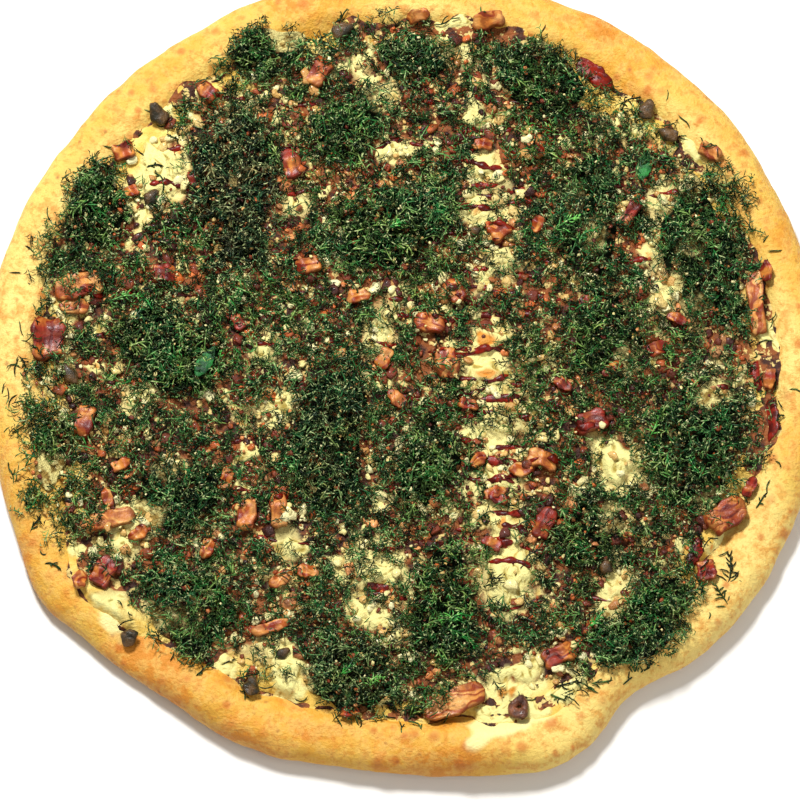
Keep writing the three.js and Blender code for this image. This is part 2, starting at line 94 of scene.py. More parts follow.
def bumps(angle, rows):
    """Soft bumps, each in its direction: middle and half width in degrees, and height."""
    total = 0
    for middle, half_width, height in rows:
        away = angle - math.radians(middle)
        away = np.arctan2(np.sin(away), np.cos(away))
        total = total + height * np.exp(-((away / math.radians(half_width)) ** 2))
    return total


def soft_step(x, low, high):
    share = np.clip((x - low) / (high - low), 0, 1)
    return share * share * (3 - 2 * share)


def mix(low, high, share):
    return low + (high - low) * share


def patchy(x, y, size, seed):
    """Soft random patches between 0 and 1, of about that size in millimetres."""
    cells = 120
    values = np.random.default_rng(seed).uniform(0, 1, (cells, cells))
    u, v = x / size + cells / 2, y / size + cells / 2
    i, j = np.floor(u).astype(int) % (cells - 1), np.floor(v).astype(int) % (cells - 1)
    across, up = soft_step(u - np.floor(u), 0, 1), soft_step(v - np.floor(v), 0, 1)
    low = mix(values[i, j], values[i + 1, j], across)
    return mix(low, mix(values[i, j + 1], values[i + 1, j + 1], across), up)


def along_across(x, y, middle_x, middle_y, turn):
    """Where a point is beside a middle: along a direction in degrees, and across it."""
    a = math.radians(turn)
    along = (x - middle_x) * math.cos(a) + (y - middle_y) * math.sin(a)
    return along, -(x - middle_x) * math.sin(a) + (y - middle_y) * math.cos(a)


# %% Outline, rim and cheese
BULGES = [(290, 9, 5.2), (213, 7, 5), (62, 14, 1.6)]
PINCHES = [(304.5, 8, -8.2), (262, 13, -4.6), (236, 8, -3.6), (140, 12, -1.5)]
PUFFS, DENTS = [(245, 8, 0.12), (283, 9, 0.1), (20, 10, 0.1)], [(226, 4, -0.16)]


def outline_radius(angle):
    wander = waves(angle, (3, 0.7, 0.4), (7, 0.5, 1.9), (11, 0.4, 0.6))
    return PIZZA_RADIUS + wander + bumps(angle, BULGES) + bumps(angle, PINCHES)


def rim_swell(angle):
    wander = waves(angle, (4, 0.05, 1.1), (9, 0.05, 2.3), (17, 0.04, 0.2))
    return 1 + wander + bumps(angle, PUFFS) + bumps(angle, DENTS)


def inner_slope(inwards, swell):
    return mix(RIM_HEIGHT * swell, FLOOR_HEIGHT, soft_step(inwards, SLOPE_START, SLOPE_START + SLOPE_WIDTH))


def cheese_radius(angle):
    wander = waves(angle, (5, 1.9, 0.8), (8, 1.4, 2.7), (13, 1.2, 4.2))
    return outline_radius(angle) - CHEESE_INSET + wander + bumps(angle, [(221, 9, 7)])


def cheese_height(reach, angle):
    share = reach / cheese_radius(angle)
    relief = share * (0.2 * np.sin(6 * angle + 0.9) + 0.15 * np.sin(14 * angle + 2 + 6 * share))
    slope = inner_slope(outline_radius(angle) - reach, rim_swell(angle)) + 1.1
    return np.maximum(CHEESE_TOP + relief, mix(CHEESE_TOP, slope, soft_step(share, 0.86, 0.97)))


def ground_height(x, y):
    """Height of the cheese, and past its edge of the bare dough."""
    reach, angle = np.hypot(x, y), np.arctan2(y, x)
    inwards = outline_radius(angle) - reach
    outside = np.clip(1 - inwards / RIM_HALF_WIDTH, 0, 1)
    rim = RIM_HEIGHT * rim_swell(angle) * np.sqrt(1 - outside**2)
    dough = np.where(inwards < RIM_HALF_WIDTH, rim, inner_slope(inwards, rim_swell(angle)))
    return np.where(reach < cheese_radius(angle), cheese_height(reach, angle), dough)


# The solid model's origin is the middle of its box, which the uneven outline puts beside the pizza's.
CAD_SEGMENTS = 60
corner_angles = np.arange(CAD_SEGMENTS) * 2 * math.pi / CAD_SEGMENTS
corner_x = outline_radius(corner_angles) * np.cos(corner_angles)
corner_y = outline_radius(corner_angles) * np.sin(corner_angles)
ORIGIN = np.array([(corner_x.min() + corner_x.max()) / 2, (corner_y.min() + corner_y.max()) / 2, 0])
print("origin beside the pizza's middle, mm:", ORIGIN.round(3))

# %% [markdown]
# ## From arrays to meshes
#
# Most pieces here are closed shells: rings of points, one above the other, with a single point at each
# end.  Such a shell is quick to work out with arrays.  Numbers that the finish needs later, such as how
# browned a spot is, go along as an attribute of each point.

# %% Making a piece


def make_piece(name, points, faces, **attributes):
    """A mesh object from points in millimetres, with one number per point under each attribute's name."""
    mesh = bpy.data.meshes.new(name)
    mesh.from_pydata(((points - ORIGIN) * MM).tolist(), [], faces)
    mesh.polygons.foreach_set("use_smooth", np.ones(len(mesh.polygons), bool))
    for key, values in attributes.items():
        mesh.attributes.new(key, "FLOAT", "POINT").data.foreach_set("value", values.astype(np.float32))
    mesh.update()
    piece = bpy.data.objects.new(name, mesh)
    bpy.context.scene.collection.objects.link(piece)
    return piece


def shell_faces(rows, columns, first=0):
    """Faces of a closed shell: rows of points in rings, then the point at each end."""
    grid = first + np.arange(rows * columns).reshape(rows, columns)
    beside = np.roll(grid, -1, axis=1)
    quads = np.stack([grid[:-1], grid[1:], beside[1:], beside[:-1]], -1).reshape(-1, 4)
    start, end = first + rows * columns, first + rows * columns + 1
    fans = [(start, a, b) for a, b in zip(grid[0], beside[0])]
    fans += [(end, b, a) for a, b in zip(grid[-1], beside[-1])]
    return quads.tolist() + [tuple(int(i) for i in fan) for fan in fans]


def triangles(piece):
    return sum(len(face.vertices) - 2 for face in piece.data.polygons)


# %% Joining many shells into one piece


def closed(grid, start, end):
    """All points of a shell in one list, its two end points last, and how many rings of how many."""
    return np.vstack([grid.reshape(-1, 3), [start], [end]]), grid.shape[:2]


class Heap:
    """Collects shells, with their attributes, and makes them one piece."""

    def __init__(self):
        self.points, self.faces, self.values, self.count = [], [], {}, 0

    def add(self, points, shape, **attributes):
        self.points.append(points)
        self.faces += shell_faces(*shape, self.count)
        self.count += len(points)
        for key, value in attributes.items():
            self.values.setdefault(key, []).append(np.broadcast_to(value, len(points)))

    def make(self, name):
        values = {key: np.concatenate(parts) for key, parts in self.values.items()}
        return make_piece(name, np.vstack(self.points), self.faces, **values)


# %% Attaching a finished piece, and hiding the solids it replaces


def declare(piece, slot, *replaced):
    """The piece rides on the one body, and replaced says whose place it takes; slot is not used."""
    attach(piece, "root")
    if replaced:
        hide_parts(*replaced)
    print(piece.name, "has", triangles(piece), "triangles")


def numbered(name, rows):
    """Names of the solids that a table's rows stand for."""
    return [f"{name}_{i + 1:02d}" for i in range(len(rows))]


# %% [markdown]
# ## Node trees
#
# Both the finishes and the Geometry Nodes are trees of nodes.  A small class adds nodes to a tree: it
# sets their properties and fills their inputs.  A number or colour is set on the socket, and another
# node's output is linked to it.

# %% Adding nodes


class Nodes:
    def __init__(self, tree):
        self.tree = tree

    def add(self, kind, inputs=None, **settings):
        made = self.tree.nodes.new(kind)
        for name, value in settings.items():
            setattr(made, name, value)
        for name, value in (inputs or {}).items():
            if isinstance(value, bpy.types.NodeSocket):
                self.tree.links.new(value, made.inputs[name])
            else:
                made.inputs[name].default_value = value
        return made

    def math(self, operation, a, b, clamp=False):
        return self.add("ShaderNodeMath", {0: a, 1: b}, operation=operation, use_clamp=clamp).outputs[0]

    def plus(self, a, b, clamp=False):
        return self.math("ADD", a, b, clamp)

    def times(self, a, b):
        return self.math("MULTIPLY", a, b)

    def stretch(self, value, low, high, **settings):
        """The value, stretched so that low becomes 0 and high becomes 1."""
        return self.add("ShaderNodeMapRange", {"Value": value, 1: low, 2: high}, **settings).outputs[0]


# %% A new tree with named inputs
SOCKETS = {
    "Geometry": "NodeSocketGeometry", "Material": "NodeSocketMaterial", "Shapes": "NodeSocketCollection",
    "Seed": "NodeSocketInt",
}


def new_tree(name, kind, output, **inputs):
    """The tree, what adds its nodes, and the sockets that it is given."""
    tree = bpy.data.node_groups.new(name, kind)
    sides = [(key.replace("_", " "), "INPUT", value) for key, value in inputs.items()]
    for key, side, value in sides + [(output, "OUTPUT", None)]:
        socket = tree.interface.new_socket(
            name=key, in_out=side, socket_type=SOCKETS.get(key, "NodeSocketFloat")
        )
        if value is not None:
            socket.default_value = value
    nodes = Nodes(tree)
    return tree, nodes, nodes.add("NodeGroupInput").outputs


def end_with_material(nodes, geometry, material):
    dressed = nodes.add("GeometryNodeSetMaterial", {"Geometry": geometry, "Material": material})
    nodes.add("NodeGroupOutput", {"Geometry": dressed.outputs[0]})


# %% [markdown]
# ## Surface relief by Geometry Nodes
#
# Dough, cheese and bacon are all uneven at two sizes: broad swellings, and small dimples on them.  One
# tree of Geometry Nodes pushes a surface in and out along its normals by two noise patterns.  The sizes
# are inputs, so each piece gets its own.  The relief fades out near the underside, which stays flat.

# %% The relief tree


def relief_tree():
    tree, nodes, given = new_tree(
        "Surface relief", "GeometryNodeTree", "Geometry", Geometry=None, Broad_size=0.02,
        Broad_height=0.0005, Fine_size=0.003, Fine_height=0.0002, Flat_below=0.0, Material=None,
    )
    position = nodes.add("GeometryNodeInputPosition").outputs[0]
    normal = nodes.add("GeometryNodeInputNormal").outputs[0]

    def layer(name, detail):
        scale = nodes.math("DIVIDE", 1.0, given[name + " size"])
        noise = nodes.add("ShaderNodeTexNoise", {"Vector": position, "Scale": scale, "Detail": detail})
        centred = nodes.math("SUBTRACT", noise.outputs[0], 0.5)
        return nodes.times(nodes.times(centred, 2.0), given[name + " height"])

    push = nodes.plus(layer("Broad", 1.0), layer("Fine", 3.0))
    height = nodes.add("ShaderNodeSeparateXYZ", {0: position}).outputs["Z"]
    fade = nodes.stretch(height, given["Flat below"], nodes.plus(given["Flat below"], 0.002))
    inputs = {0: normal, "Scale": nodes.times(push, fade)}
    offset = nodes.add("ShaderNodeVectorMath", inputs, operation="SCALE").outputs[0]
    moved = nodes.add("GeometryNodeSetPosition", {"Geometry": given["Geometry"], "Offset": offset})
    end_with_material(nodes, moved.outputs[0], given["Material"])
    return tree


RELIEF = relief_tree()

# %% Running a tree on a piece


def run_tree(piece, tree, **values):
    """Runs a tree of Geometry Nodes on a piece, with values for its named inputs, and keeps the result."""
    modifier = piece.modifiers.new(tree.name, "NODES")
    modifier.node_group = tree
    sockets = tree.interface.items_tree
    identifiers = {item.name: item.identifier for item in sockets if item.in_out == "INPUT"}
    for name, value in values.items():
        modifier[identifiers[name.replace("_", " ")]] = value
    evaluated = piece.evaluated_get(bpy.context.evaluated_depsgraph_get())
    result = bpy.data.meshes.new_from_object(evaluated)
    piece.modifiers.remove(modifier)
    result.name = piece.name
    piece.data = result


def roughen(piece, finish, broad, fine, flat_below=0.0):
    """Relief on a piece: the size and height of its swellings and of its dimples, in metres."""
    run_tree(
        piece, RELIEF, Broad_size=broad[0], Broad_height=broad[1], Fine_size=fine[0], Fine_height=fine[1],
        Flat_below=flat_below, Material=finish,
    )


# %% [markdown]
# ## Colours
#
# Colours are written as they look on a screen, from 0 to 255, and turned into the linear values that a
# renderer wants.  Two shader groups serve nearly every finish: soft patches, from a noise pattern cut
# between two levels, and small round specks.  Both read Object coordinates, so they stay on the piece.
# A finish starts from one colour and lays others over it, each where a mask or an attribute says.

# %% Screen colours


def screen(red, green, blue):
    linear = [((c / 255 + 0.055) / 1.055) ** 2.4 if c > 10 else c / 255 / 12.92 for c in (red, green, blue)]
    return (*linear, 1.0)

# %% Shader groups: patches and specks


def patches_group():
    levels = {"From": 0.4, "To": 0.6}
    tree, nodes, given = new_tree("Patches", "ShaderNodeTree", "Mask", Size=0.02, Detail=4.0, **levels)
    place = nodes.add("ShaderNodeTexCoord").outputs["Object"]
    scale = nodes.math("DIVIDE", 1.0, given["Size"])
    inputs = {"Vector": place, "Scale": scale, "Detail": given["Detail"], "Roughness": 0.6}
    noise = nodes.add("ShaderNodeTexNoise", inputs).outputs[0]
    cut = nodes.stretch(noise, given["From"], given["To"], interpolation_type="SMOOTHSTEP")
    nodes.add("NodeGroupOutput", {"Mask": cut})
    return tree


def specks_group():
    tree, nodes, given = new_tree("Specks", "ShaderNodeTree", "Mask", Spacing=0.006, Width=0.3, Share=0.4)
    place = nodes.add("ShaderNodeTexCoord").outputs["Object"]
    scale = nodes.math("DIVIDE", 1.0, given["Spacing"])
    cells = nodes.add("ShaderNodeTexVoronoi", {"Vector": place, "Scale": scale})
    near = nodes.stretch(cells.outputs["Distance"], given["Width"], 0.0)
    chosen = nodes.add("ShaderNodeSeparateColor", {0: cells.outputs["Color"]}).outputs[0]
    kept = nodes.math("LESS_THAN", chosen, given["Share"])
    nodes.add("NodeGroupOutput", {"Mask": nodes.times(near, kept)})
    return tree


PATCHES, SPECKS = patches_group(), specks_group()

# %% Painting with nodes


class Paint(Nodes):
    def number(self, name):
        """The attribute of that name."""
        return self.add("ShaderNodeAttribute", attribute_name=name).outputs["Fac"]

    def patches(self, size, detail, low, high):
        inputs = {"Size": size, "Detail": detail, "From": low, "To": high}
        return self.add("ShaderNodeGroup", inputs, node_tree=PATCHES).outputs[0]

    def specks(self, spacing, width, share):
        inputs = {"Spacing": spacing, "Width": width, "Share": share}
        return self.add("ShaderNodeGroup", inputs, node_tree=SPECKS).outputs[0]

    def blend(self, share, first, second, kind="MIX"):
        """Two colours, blended; three whole numbers are a screen colour."""
        first, second = (screen(*c) if isinstance(c, tuple) and len(c) == 3 else c for c in (first, second))
        inputs = {0: share, 6: first, 7: second}
        return self.add("ShaderNodeMix", inputs, data_type="RGBA", blend_type=kind).outputs[2]

    def lay_on(self, colour, *layers):
        """Lays colours over a colour: what says where, how much of it, and the screen colour."""
        for share, most, top in layers:
            colour = self.blend(self.times(share, most), colour, top)
        return colour

    def tint(self, colour, red, green, blue):
        return self.blend(1.0, colour, (red, green, blue, 1.0), "MULTIPLY")

    def shade(self, colour, patches, darkest, lightest):
        """The colour, darker and lighter in patches."""
        shades = self.blend(self.patches(*patches), (*[darkest] * 3, 1.0), (*[lightest] * 3, 1.0))
        return self.blend(1.0, colour, shades, "MULTIPLY")

    def ramp(self, value, *stops):
        """A colour that follows a value; each stop is a place and the screen colour there."""
        made = self.add("ShaderNodeValToRGB", {"Fac": value})
        elements = made.color_ramp.elements
        for element, (place, colour) in zip(elements, (stops[0], stops[-1])):
            element.position, element.color = place, screen(*colour)
        for place, colour in stops[1:-1]:
            elements.new(place).color = screen(*colour)
        return made.outputs[0]


# %% A finish: colour, roughness and fine bumps
COAT_ROUGHNESS = 0.12


def make_finish(name, painted, roughness, bump_size, bump_height, coat=0.0, specular=0.5):
    """painted(paint) gives the colour socket, and the roughness socket if that varies."""
    finish = bpy.data.materials.new(name)
    finish.use_nodes = True
    paint, shader = Paint(finish.node_tree), finish.node_tree.nodes["Principled BSDF"]
    colour = painted(paint)
    if isinstance(colour, tuple):
        colour, rough = colour
        paint.tree.links.new(rough, shader.inputs["Roughness"])
    else:
        shader.inputs["Roughness"].default_value = roughness
    paint.tree.links.new(colour, shader.inputs["Base Color"])
    shader.inputs["Specular IOR Level"].default_value = specular
    shader.inputs["Coat Weight"].default_value = coat
    shader.inputs["Coat Roughness"].default_value = COAT_ROUGHNESS
    grain = paint.patches(bump_size, 5.0, 0.2, 0.8)
    bump = paint.add("ShaderNodeBump", {"Height": grain, "Distance": bump_height, "Strength": 1.0})
    paint.tree.links.new(bump.outputs[0], shader.inputs["Normal"])
    return finish


# %% [markdown]
# ## The crust
#
# The dough was stretched by hand, so the rim is low and wanders.  Its section is worked out once, from the
# flat underside round the outer edge and down to the floor, and carried round in 720 steps.  Blisters are
# set on the rim by chance, as the oven does.

# %% Section of the rim
CRUST_COLUMNS = 720


def rim_section():
    """Distance inwards from the outline and height, for each row, in millimetres."""
    under = [(inwards, 0.0) for inwards in (110, 70, 40, 24, 16, 12)]
    lower = np.linspace(-math.pi / 2, 0, 9)
    upper = np.linspace(0, math.pi / 2, 15)[1:]
    half, girth = RIM_HALF_WIDTH, RIM_GIRTH_HEIGHT
    rows = under + [(half * (1 - math.cos(a)), girth * (1 + math.sin(a))) for a in lower]
    rows += [(half * (1 - math.cos(a)), girth + (RIM_HEIGHT - girth) * math.sin(a)) for a in upper]
    rows += [(inwards, RIM_HEIGHT) for inwards in (10.6, 11.8)]
    slope = np.linspace(SLOPE_START, SLOPE_START + SLOPE_WIDTH, 14)
    rows += [(inwards, float(inner_slope(inwards, 1.0))) for inwards in slope]
    return rows + [(inwards, FLOOR_HEIGHT) for inwards in (36, 70, 110)]


section = rim_section()
angles = np.arange(CRUST_COLUMNS) * 2 * math.pi / CRUST_COLUMNS
rings = []
for inwards, height in section:
    reach = outline_radius(angles) - inwards
    over = max(0.0, height - FLOOR_HEIGHT) / (RIM_HEIGHT - FLOOR_HEIGHT)
    swollen = height + over * RIM_HEIGHT * (rim_swell(angles) - 1)
    rings.append(np.stack([reach * np.cos(angles), reach * np.sin(angles), swollen], -1))
rings = np.array(rings)
print("rows in the crust:", len(section), "points:", rings.shape[0] * rings.shape[1])

# %% Blisters, and where the oven browned the rim
BLISTERS = 230
BLISTER_RADIUS = (1.0, 3.6)
BLISTER_HEIGHT = (0.15, 0.75)
# Direction in degrees, half width in degrees, and how much browner than the rest.
BROWNED = [
    (246, 22, 0.7), (274, 8, 0.6), (213, 9, 0.55), (228, 7, 1.0), (196, 10, 0.35), (104, 9, 0.6),
    (57, 9, 0.75), (128, 12, 0.25), (20, 9, 0.3), (349, 8, 0.35), (75, 6, 0.3),
]
PALE = [(327, 14, 0.6), (172, 16, 0.35), (0, 8, 0.2), (296, 11, 0.3), (223, 6, 0.8)]
# Cheese that ran out over the dough: middle, half length, half width, turn.
SPILLS = [(29, -142, 11, 5, 60), (44, -139, 16, 5, 15), (-110, -99, 10, 5, 130)]


def browned(angle):
    return bumps(angle, BROWNED) - bumps(angle, PALE)


def rim_blisters(points, seed):
    """How far each point is raised by blisters, and how deep it lies in one, from 0 to 1."""
    dice = np.random.default_rng(seed)
    raised, inside = np.zeros(len(points)), np.zeros(len(points))
    for _ in range(BLISTERS):
        angle = dice.uniform(0, 2 * math.pi)
        inwards = dice.uniform(1.5, 20)
        reach = float(outline_radius(angle)) - inwards
        radius, height = dice.uniform(*BLISTER_RADIUS), dice.uniform(*BLISTER_HEIGHT)
        x, y = reach * math.cos(angle), reach * math.sin(angle)
        near = np.exp(-((points[:, 0] - x) ** 2 + (points[:, 1] - y) ** 2) / radius**2)
        near *= points[:, 2] > RIM_GIRTH_HEIGHT
        raised += height * near
        inside = np.maximum(inside, near * dice.uniform(0.2, 1))
    return raised, inside


def spilt(x, y):
    """1 where cheese ran out over the dough, and 0 elsewhere."""
    total = np.zeros(np.shape(x))
    for spill_x, spill_y, long, wide, turn in SPILLS:
        along, across = along_across(x, y, spill_x, spill_y, turn)
        share = np.hypot(along / long, across / wide) + 0.9 * (patchy(x, y, 4, 91) - 0.5)
        total = np.maximum(total, 1 - soft_step(share, 0.5, 1.05))
    return total


flat = rings.reshape(-1, 3)
raised, inside = rim_blisters(flat, seed=4)
flat[:, 2] += raised
inner = np.repeat([soft_step(inwards, 7, 15) for inwards, _ in section], CRUST_COLUMNS)
numbers = {
    "blister": inside,
    "browned": browned(np.arctan2(flat[:, 1], flat[:, 0])),
    "inner": inner * (flat[:, 2] > 2),
    "spilt": spilt(flat[:, 0], flat[:, 1]),
}
crust_heap = Heap()
crust_heap.add(
    *closed(rings, (0, 0, 0), (0, 0, FLOOR_HEIGHT)),
    **{key: np.append(values, [0, 0]) for key, values in numbers.items()},
)
crust = crust_heap.make("crust_baked")

# %% [markdown]
# Baked dough is pale cream where it is shaded by the toppings, golden over most of the rim, orange where
# it stood nearest the fire, and brown on the tips of the blisters.  The finish mixes these by the
# attributes, with soft patches so that no edge is even.

# %% Finish of the crust


def paint_crust(paint):
    heat = paint.math("SUBTRACT", paint.number("browned"), paint.times(paint.number("inner"), 0.3))
    shaded = paint.stretch(heat, 0.05, -0.35)
    heat = paint.plus(heat, paint.times(paint.patches(0.02, 6.0, 0.36, 0.64), 0.6), clamp=True)
    place = paint.add("ShaderNodeTexCoord").outputs["Object"]
    height = paint.add("ShaderNodeSeparateXYZ", {0: place}).outputs["Z"]
    return paint.lay_on(
        paint.blend(heat, (218, 182, 82), (210, 144, 34)),
        (paint.stretch(heat, 0.8, 1.0), 0.35, (190, 98, 40)),
        (shaded, 1.0, (226, 198, 112)),
        (paint.patches(0.006, 6.0, 0.44, 0.6), 0.55, (238, 210, 112)),
        (paint.patches(0.006, 6.0, 0.44, 0.7), 0.7, (192, 112, 24)),
        (paint.patches(0.0026, 4.0, 0.5, 0.64), 0.5, (198, 124, 30)),
        (paint.stretch(height, 0.006, 0.003), 0.5, (226, 178, 118)),
        (paint.stretch(height, 0.0018, 0.0004), 0.7, (136, 84, 44)),
        (paint.stretch(paint.number("blister"), 0.4, 0.8), 0.7, (186, 100, 26)),
        (paint.specks(0.0045, 0.24, 0.22), 0.75, (140, 74, 28)),
        (paint.specks(0.0018, 0.3, 0.12), 0.5, (150, 88, 36)),
        (paint.number("spilt"), 0.85, (236, 226, 156)),
    )


CRUST = make_finish("baked dough", paint_crust, 0.55, 0.0012, 0.0003, specular=0.35)
roughen(crust, CRUST, (0.015, 0.0010), (0.0035, 0.00035), flat_below=0.0005)
declare(crust, "crust", "crust")

# %% [markdown]
# ## The bacon
#
# The bacon is cut in strips and squares, and fried on the pizza: it arches up, its edges pull in, and the
# fat turns peach while the lean goes from rose to dark red.  Each piece is a rounded slab with the same
# arch and nibbled edges as its solid, so that it lies exactly where the solid does.

# %% Pieces of bacon: middle, length, width, turn, arch, and lean colour from orange (0) to dark red (1)
BACON_THICKNESS = 3.4
BACON = [
    (-125, 33, 20, 11, 15, 1.2, 0.15), (-136, 12, 17, 14, 95, 0.8, 0.75), (-122, -21, 13, 8, 75, 1.4, 0.5),
    (-113, -60, 22, 8, 14, 1.5, 0.0), (-114, -80, 13, 9, 60, 0.7, 0.75), (-108, 87, 9, 7, 20, 0.5, 0.5),
    (-76, 111, 9, 7, 140, 0.6, 0.6), (-33, 119, 13, 8, 60, 1.0, 0.45), (-44, 82, 12, 9, 110, 0.8, 0.7),
    (32, 139, 13, 7, 10, 0.9, 0.3), (50, 89, 10, 8, 100, 1.0, 0.35), (36, 55, 9, 8, 40, 1.0, 0.5),
    (19, 31, 10, 8, 120, 0.7, 0.4), (9, 18, 13, 8, 170, 1.2, 0.45), (16, 2, 13, 10, 100, 1.2, 0.3),
    (-37, 41, 10, 7, 20, 0.8, 0.4), (-92, 38, 9, 8, 0, 0.6, 0.8), (-60, -58, 13, 8, 80, 1.0, 0.3),
    (-48, -56, 14, 7, 95, 1.3, 0.2), (52, -36, 12, 8, 165, 1.4, 0.3), (53, -61, 13, 8, 65, 1.0, 0.9),
    (71, -21, 13, 9, 20, 1.1, 0.95), (87, 63, 15, 5.5, 60, 1.2, 0.7), (117, 86, 10, 6, 150, 0.6, 0.15),
    (134, 26, 26, 7, 95, 1.0, 0.1), (122, -58, 17, 12, 35, 1.6, 0.5), (114, -80, 9, 8, 100, 0.7, 0.8),
    (58, -113, 14, 8, 25, 1.1, 0.7), (19, -131, 26, 11, 24, 1.5, 0.05),
]
SLAB_COLUMNS = 48
# Profiles of slabs, from below upwards: share of the outline, and share of the half thickness.
SLICE_PROFILE = [
    (0.4, -1), (0.75, -1), (0.92, -0.9), (0.99, -0.5), (1, 0), (0.99, 0.45), (0.96, 0.76), (0.9, 0.93),
    (0.8, 1), (0.66, 1), (0.5, 1), (0.34, 1), (0.17, 1),
]
CHIP_PROFILE = [(0.8, -0.8), (1, 0.1), (0.78, 0.85)]
DROP_PROFILE = [(0.6, -0.8), (0.92, -0.4), (1, 0), (0.93, 0.42), (0.76, 0.72), (0.5, 0.9), (0.25, 0.98)]

# %% A slab


def slab_points(long, wide, thick, profile, columns, nibble_seed, squareness=4.0, ragged=0.07):
    """A closed slab round the origin, its top at +thick / 2."""
    dice = np.random.default_rng(nibble_seed)
    around = np.arange(columns) * 2 * math.pi / columns
    along, across = np.cos(around) / (long / 2), np.sin(around) / (wide / 2)
    reach = (np.abs(along) ** squareness + np.abs(across) ** squareness) ** (-1 / squareness)
    phases = dice.uniform(0, 2 * math.pi, 5)
    counts = (2, 3, 5, 8, 13)
    wander = sum(np.sin(count * around + phase) / (count**0.6) for count, phase in zip(counts, phases))
    reach = reach * (1 + ragged * wander)
    share, height = np.array(profile, float).T[..., None]
    grid = [share * reach * np.cos(around), share * reach * np.sin(around), height * thick / 2 + 0 * reach]
    return closed(np.stack(grid, -1), (0, 0, -thick / 2), (0, 0, thick / 2))


def turned(points, turn, x, y):
    """Points turned about the vertical, by degrees, and moved."""
    a = math.radians(turn)
    turned_x = points[..., 0] * math.cos(a) - points[..., 1] * math.sin(a) + x
    turned_y = points[..., 0] * math.sin(a) + points[..., 1] * math.cos(a) + y
    return np.stack([turned_x, turned_y, points[..., 2]], -1)


def bacon_bend(points, x, y, long, wide, arch):
    """The slab as its solid bends it: arched, rippled, and pulled in at its edges."""
    along, across = points[..., 0] / long, points[..., 1] / wide
    nibble = 1 - 0.18 * np.abs(np.sin(5 * along + x))
    shrink = 1 - 0.1 * np.sin(4 * across + x) ** 2
    lift = np.maximum(arch * (1 - 4 * along**2) + 0.5 * np.sin(9 * along + y), 0)
    ridges = 0.07 * np.sin(2.1 * points[..., 1] + 0.5 * points[..., 0] + x) * (points[..., 2] > 0)
    lifted = points[..., 2] + lift + BACON_THICKNESS / 2 + CLEARANCE + ridges
    return np.stack([points[..., 0] * shrink, points[..., 1] * nibble, lifted], -1)


def settle(points, turn, x, y):
    """Turned, moved, and laid on what is below each point."""
    placed = turned(points, turn, x, y)
    placed[..., 2] += ground_height(placed[..., 0], placed[..., 1])
    return placed


# %% Making the bacon
# Smaller bits between the slices, in the same order of values.
BACON_BITS = [
    (-105, 71, 7, 5, 30, 0.6, 0.5), (-81, 76, 8, 5, 100, 0.5, 0.9), (-20, 64, 8, 5, 10, 0.6, 0.3),
    (5, 141, 9, 5, 20, 0.6, 0.2), (30, 90, 8, 5, 170, 0.5, 0.4), (51, 58, 8, 5, 60, 0.7, 0.5),
    (-18, 29, 9, 6, 15, 0.7, 0.1), (-64, 19, 8, 5, 120, 0.5, 0.9), (-75, 55, 8, 5, 70, 0.6, 0.6),
    (-101, -65, 8, 6, 40, 0.6, 0.4), (-123, -84, 8, 6, 90, 0.6, 0.3), (-33, -35, 9, 6, 20, 0.6, 0.4),
    (-75, -71, 8, 6, 70, 0.7, 0.2), (-37, -80, 8, 6, 0, 0.6, 0.1), (35, -51, 9, 5, 160, 0.6, 0.9),
    (12, -85, 9, 6, 80, 0.7, 0.1), (79, 0, 9, 5, 30, 0.6, 0.5), (138, 38, 9, 5, 90, 0.5, 0.7),
    (139, -4, 8, 5, 80, 0.5, 0.6), (131, -47, 8, 5, 60, 0.5, 0.9), (-51, -102, 15, 5, 18, 0.8, 0.2),
    (-21, -135, 8, 5, 10, 0.5, 0.6), (60, -6, 8, 5, 140, 0.6, 0.7), (-108, -38, 8, 5, 20, 0.5, 0.4),
    (-113, -51, 8, 5, 100, 0.5, 0.3), (96, 8, 9, 6, 20, 0.6, 0.8), (104, 20, 8, 5, 160, 0.5, 0.6),
    (70, 27, 8, 5, 10, 0.5, 0.9), (-8, 4, 10, 6, 60, 0.7, 0.2), (-3, -12, 9, 6, 130, 0.6, 0.2),
    (44, -40, 10, 6, 10, 0.7, 0.2), (28, -36, 8, 5, 40, 0.6, 0.5), (-68, -44, 9, 6, 70, 0.6, 0.2),
    (-126, 25, 12, 7, 5, 0.6, 0.1), (24, -14, 8, 5, 175, 0.5, 0.6), (34, -49, 9, 5, 10, 0.6, 0.4),
    (33, -69, 8, 5, 150, 0.6, 0.7), (-47, -83, 10, 6, 40, 0.6, 0.1),
]
BIT_THICKNESS = 1.7


def add_bacon(heap, rows, thickness, columns, first_seed, squareness, ragged):
    for i, (x, y, long, wide, turn, arch, lean) in enumerate(rows):
        points, shape = slab_points(
            long, wide, thickness, SLICE_PROFILE, columns, first_seed + i, squareness, ragged
        )
        along, across = points[:, 0], points[:, 1]
        heap.add(
            settle(bacon_bend(points, x, y, long, wide, arch), turn, x, y), shape,
            lean=np.clip(lean + 0.28 * np.sin(7 * along / long + 0.37 * x + 0.11 * y), 0, 1),
            across=across + 0.25 * along + 10 * i,
            edge=np.maximum(np.abs(along) * 2 / long, np.abs(across) * 2 / wide),
        )


bacon_heap, bit_heap = Heap(), Heap()
add_bacon(bacon_heap, BACON, BACON_THICKNESS, SLAB_COLUMNS, 0, squareness=6.0, ragged=0.045)
add_bacon(bit_heap, BACON_BITS, BIT_THICKNESS, 32, 500, squareness=3.0, ragged=0.12)
bacon, bacon_bits = bacon_heap.make("bacon_slices"), bit_heap.make("bacon_bits")

# %% [markdown]
# Bacon is striped: fat and lean lie side by side, and the stripes run along the slice.  The attribute
# `across` says how far across the slice a point is, and a noise pattern bends the stripes.  Edges and thin
# spots fry to brown.

# %% Finish of the bacon


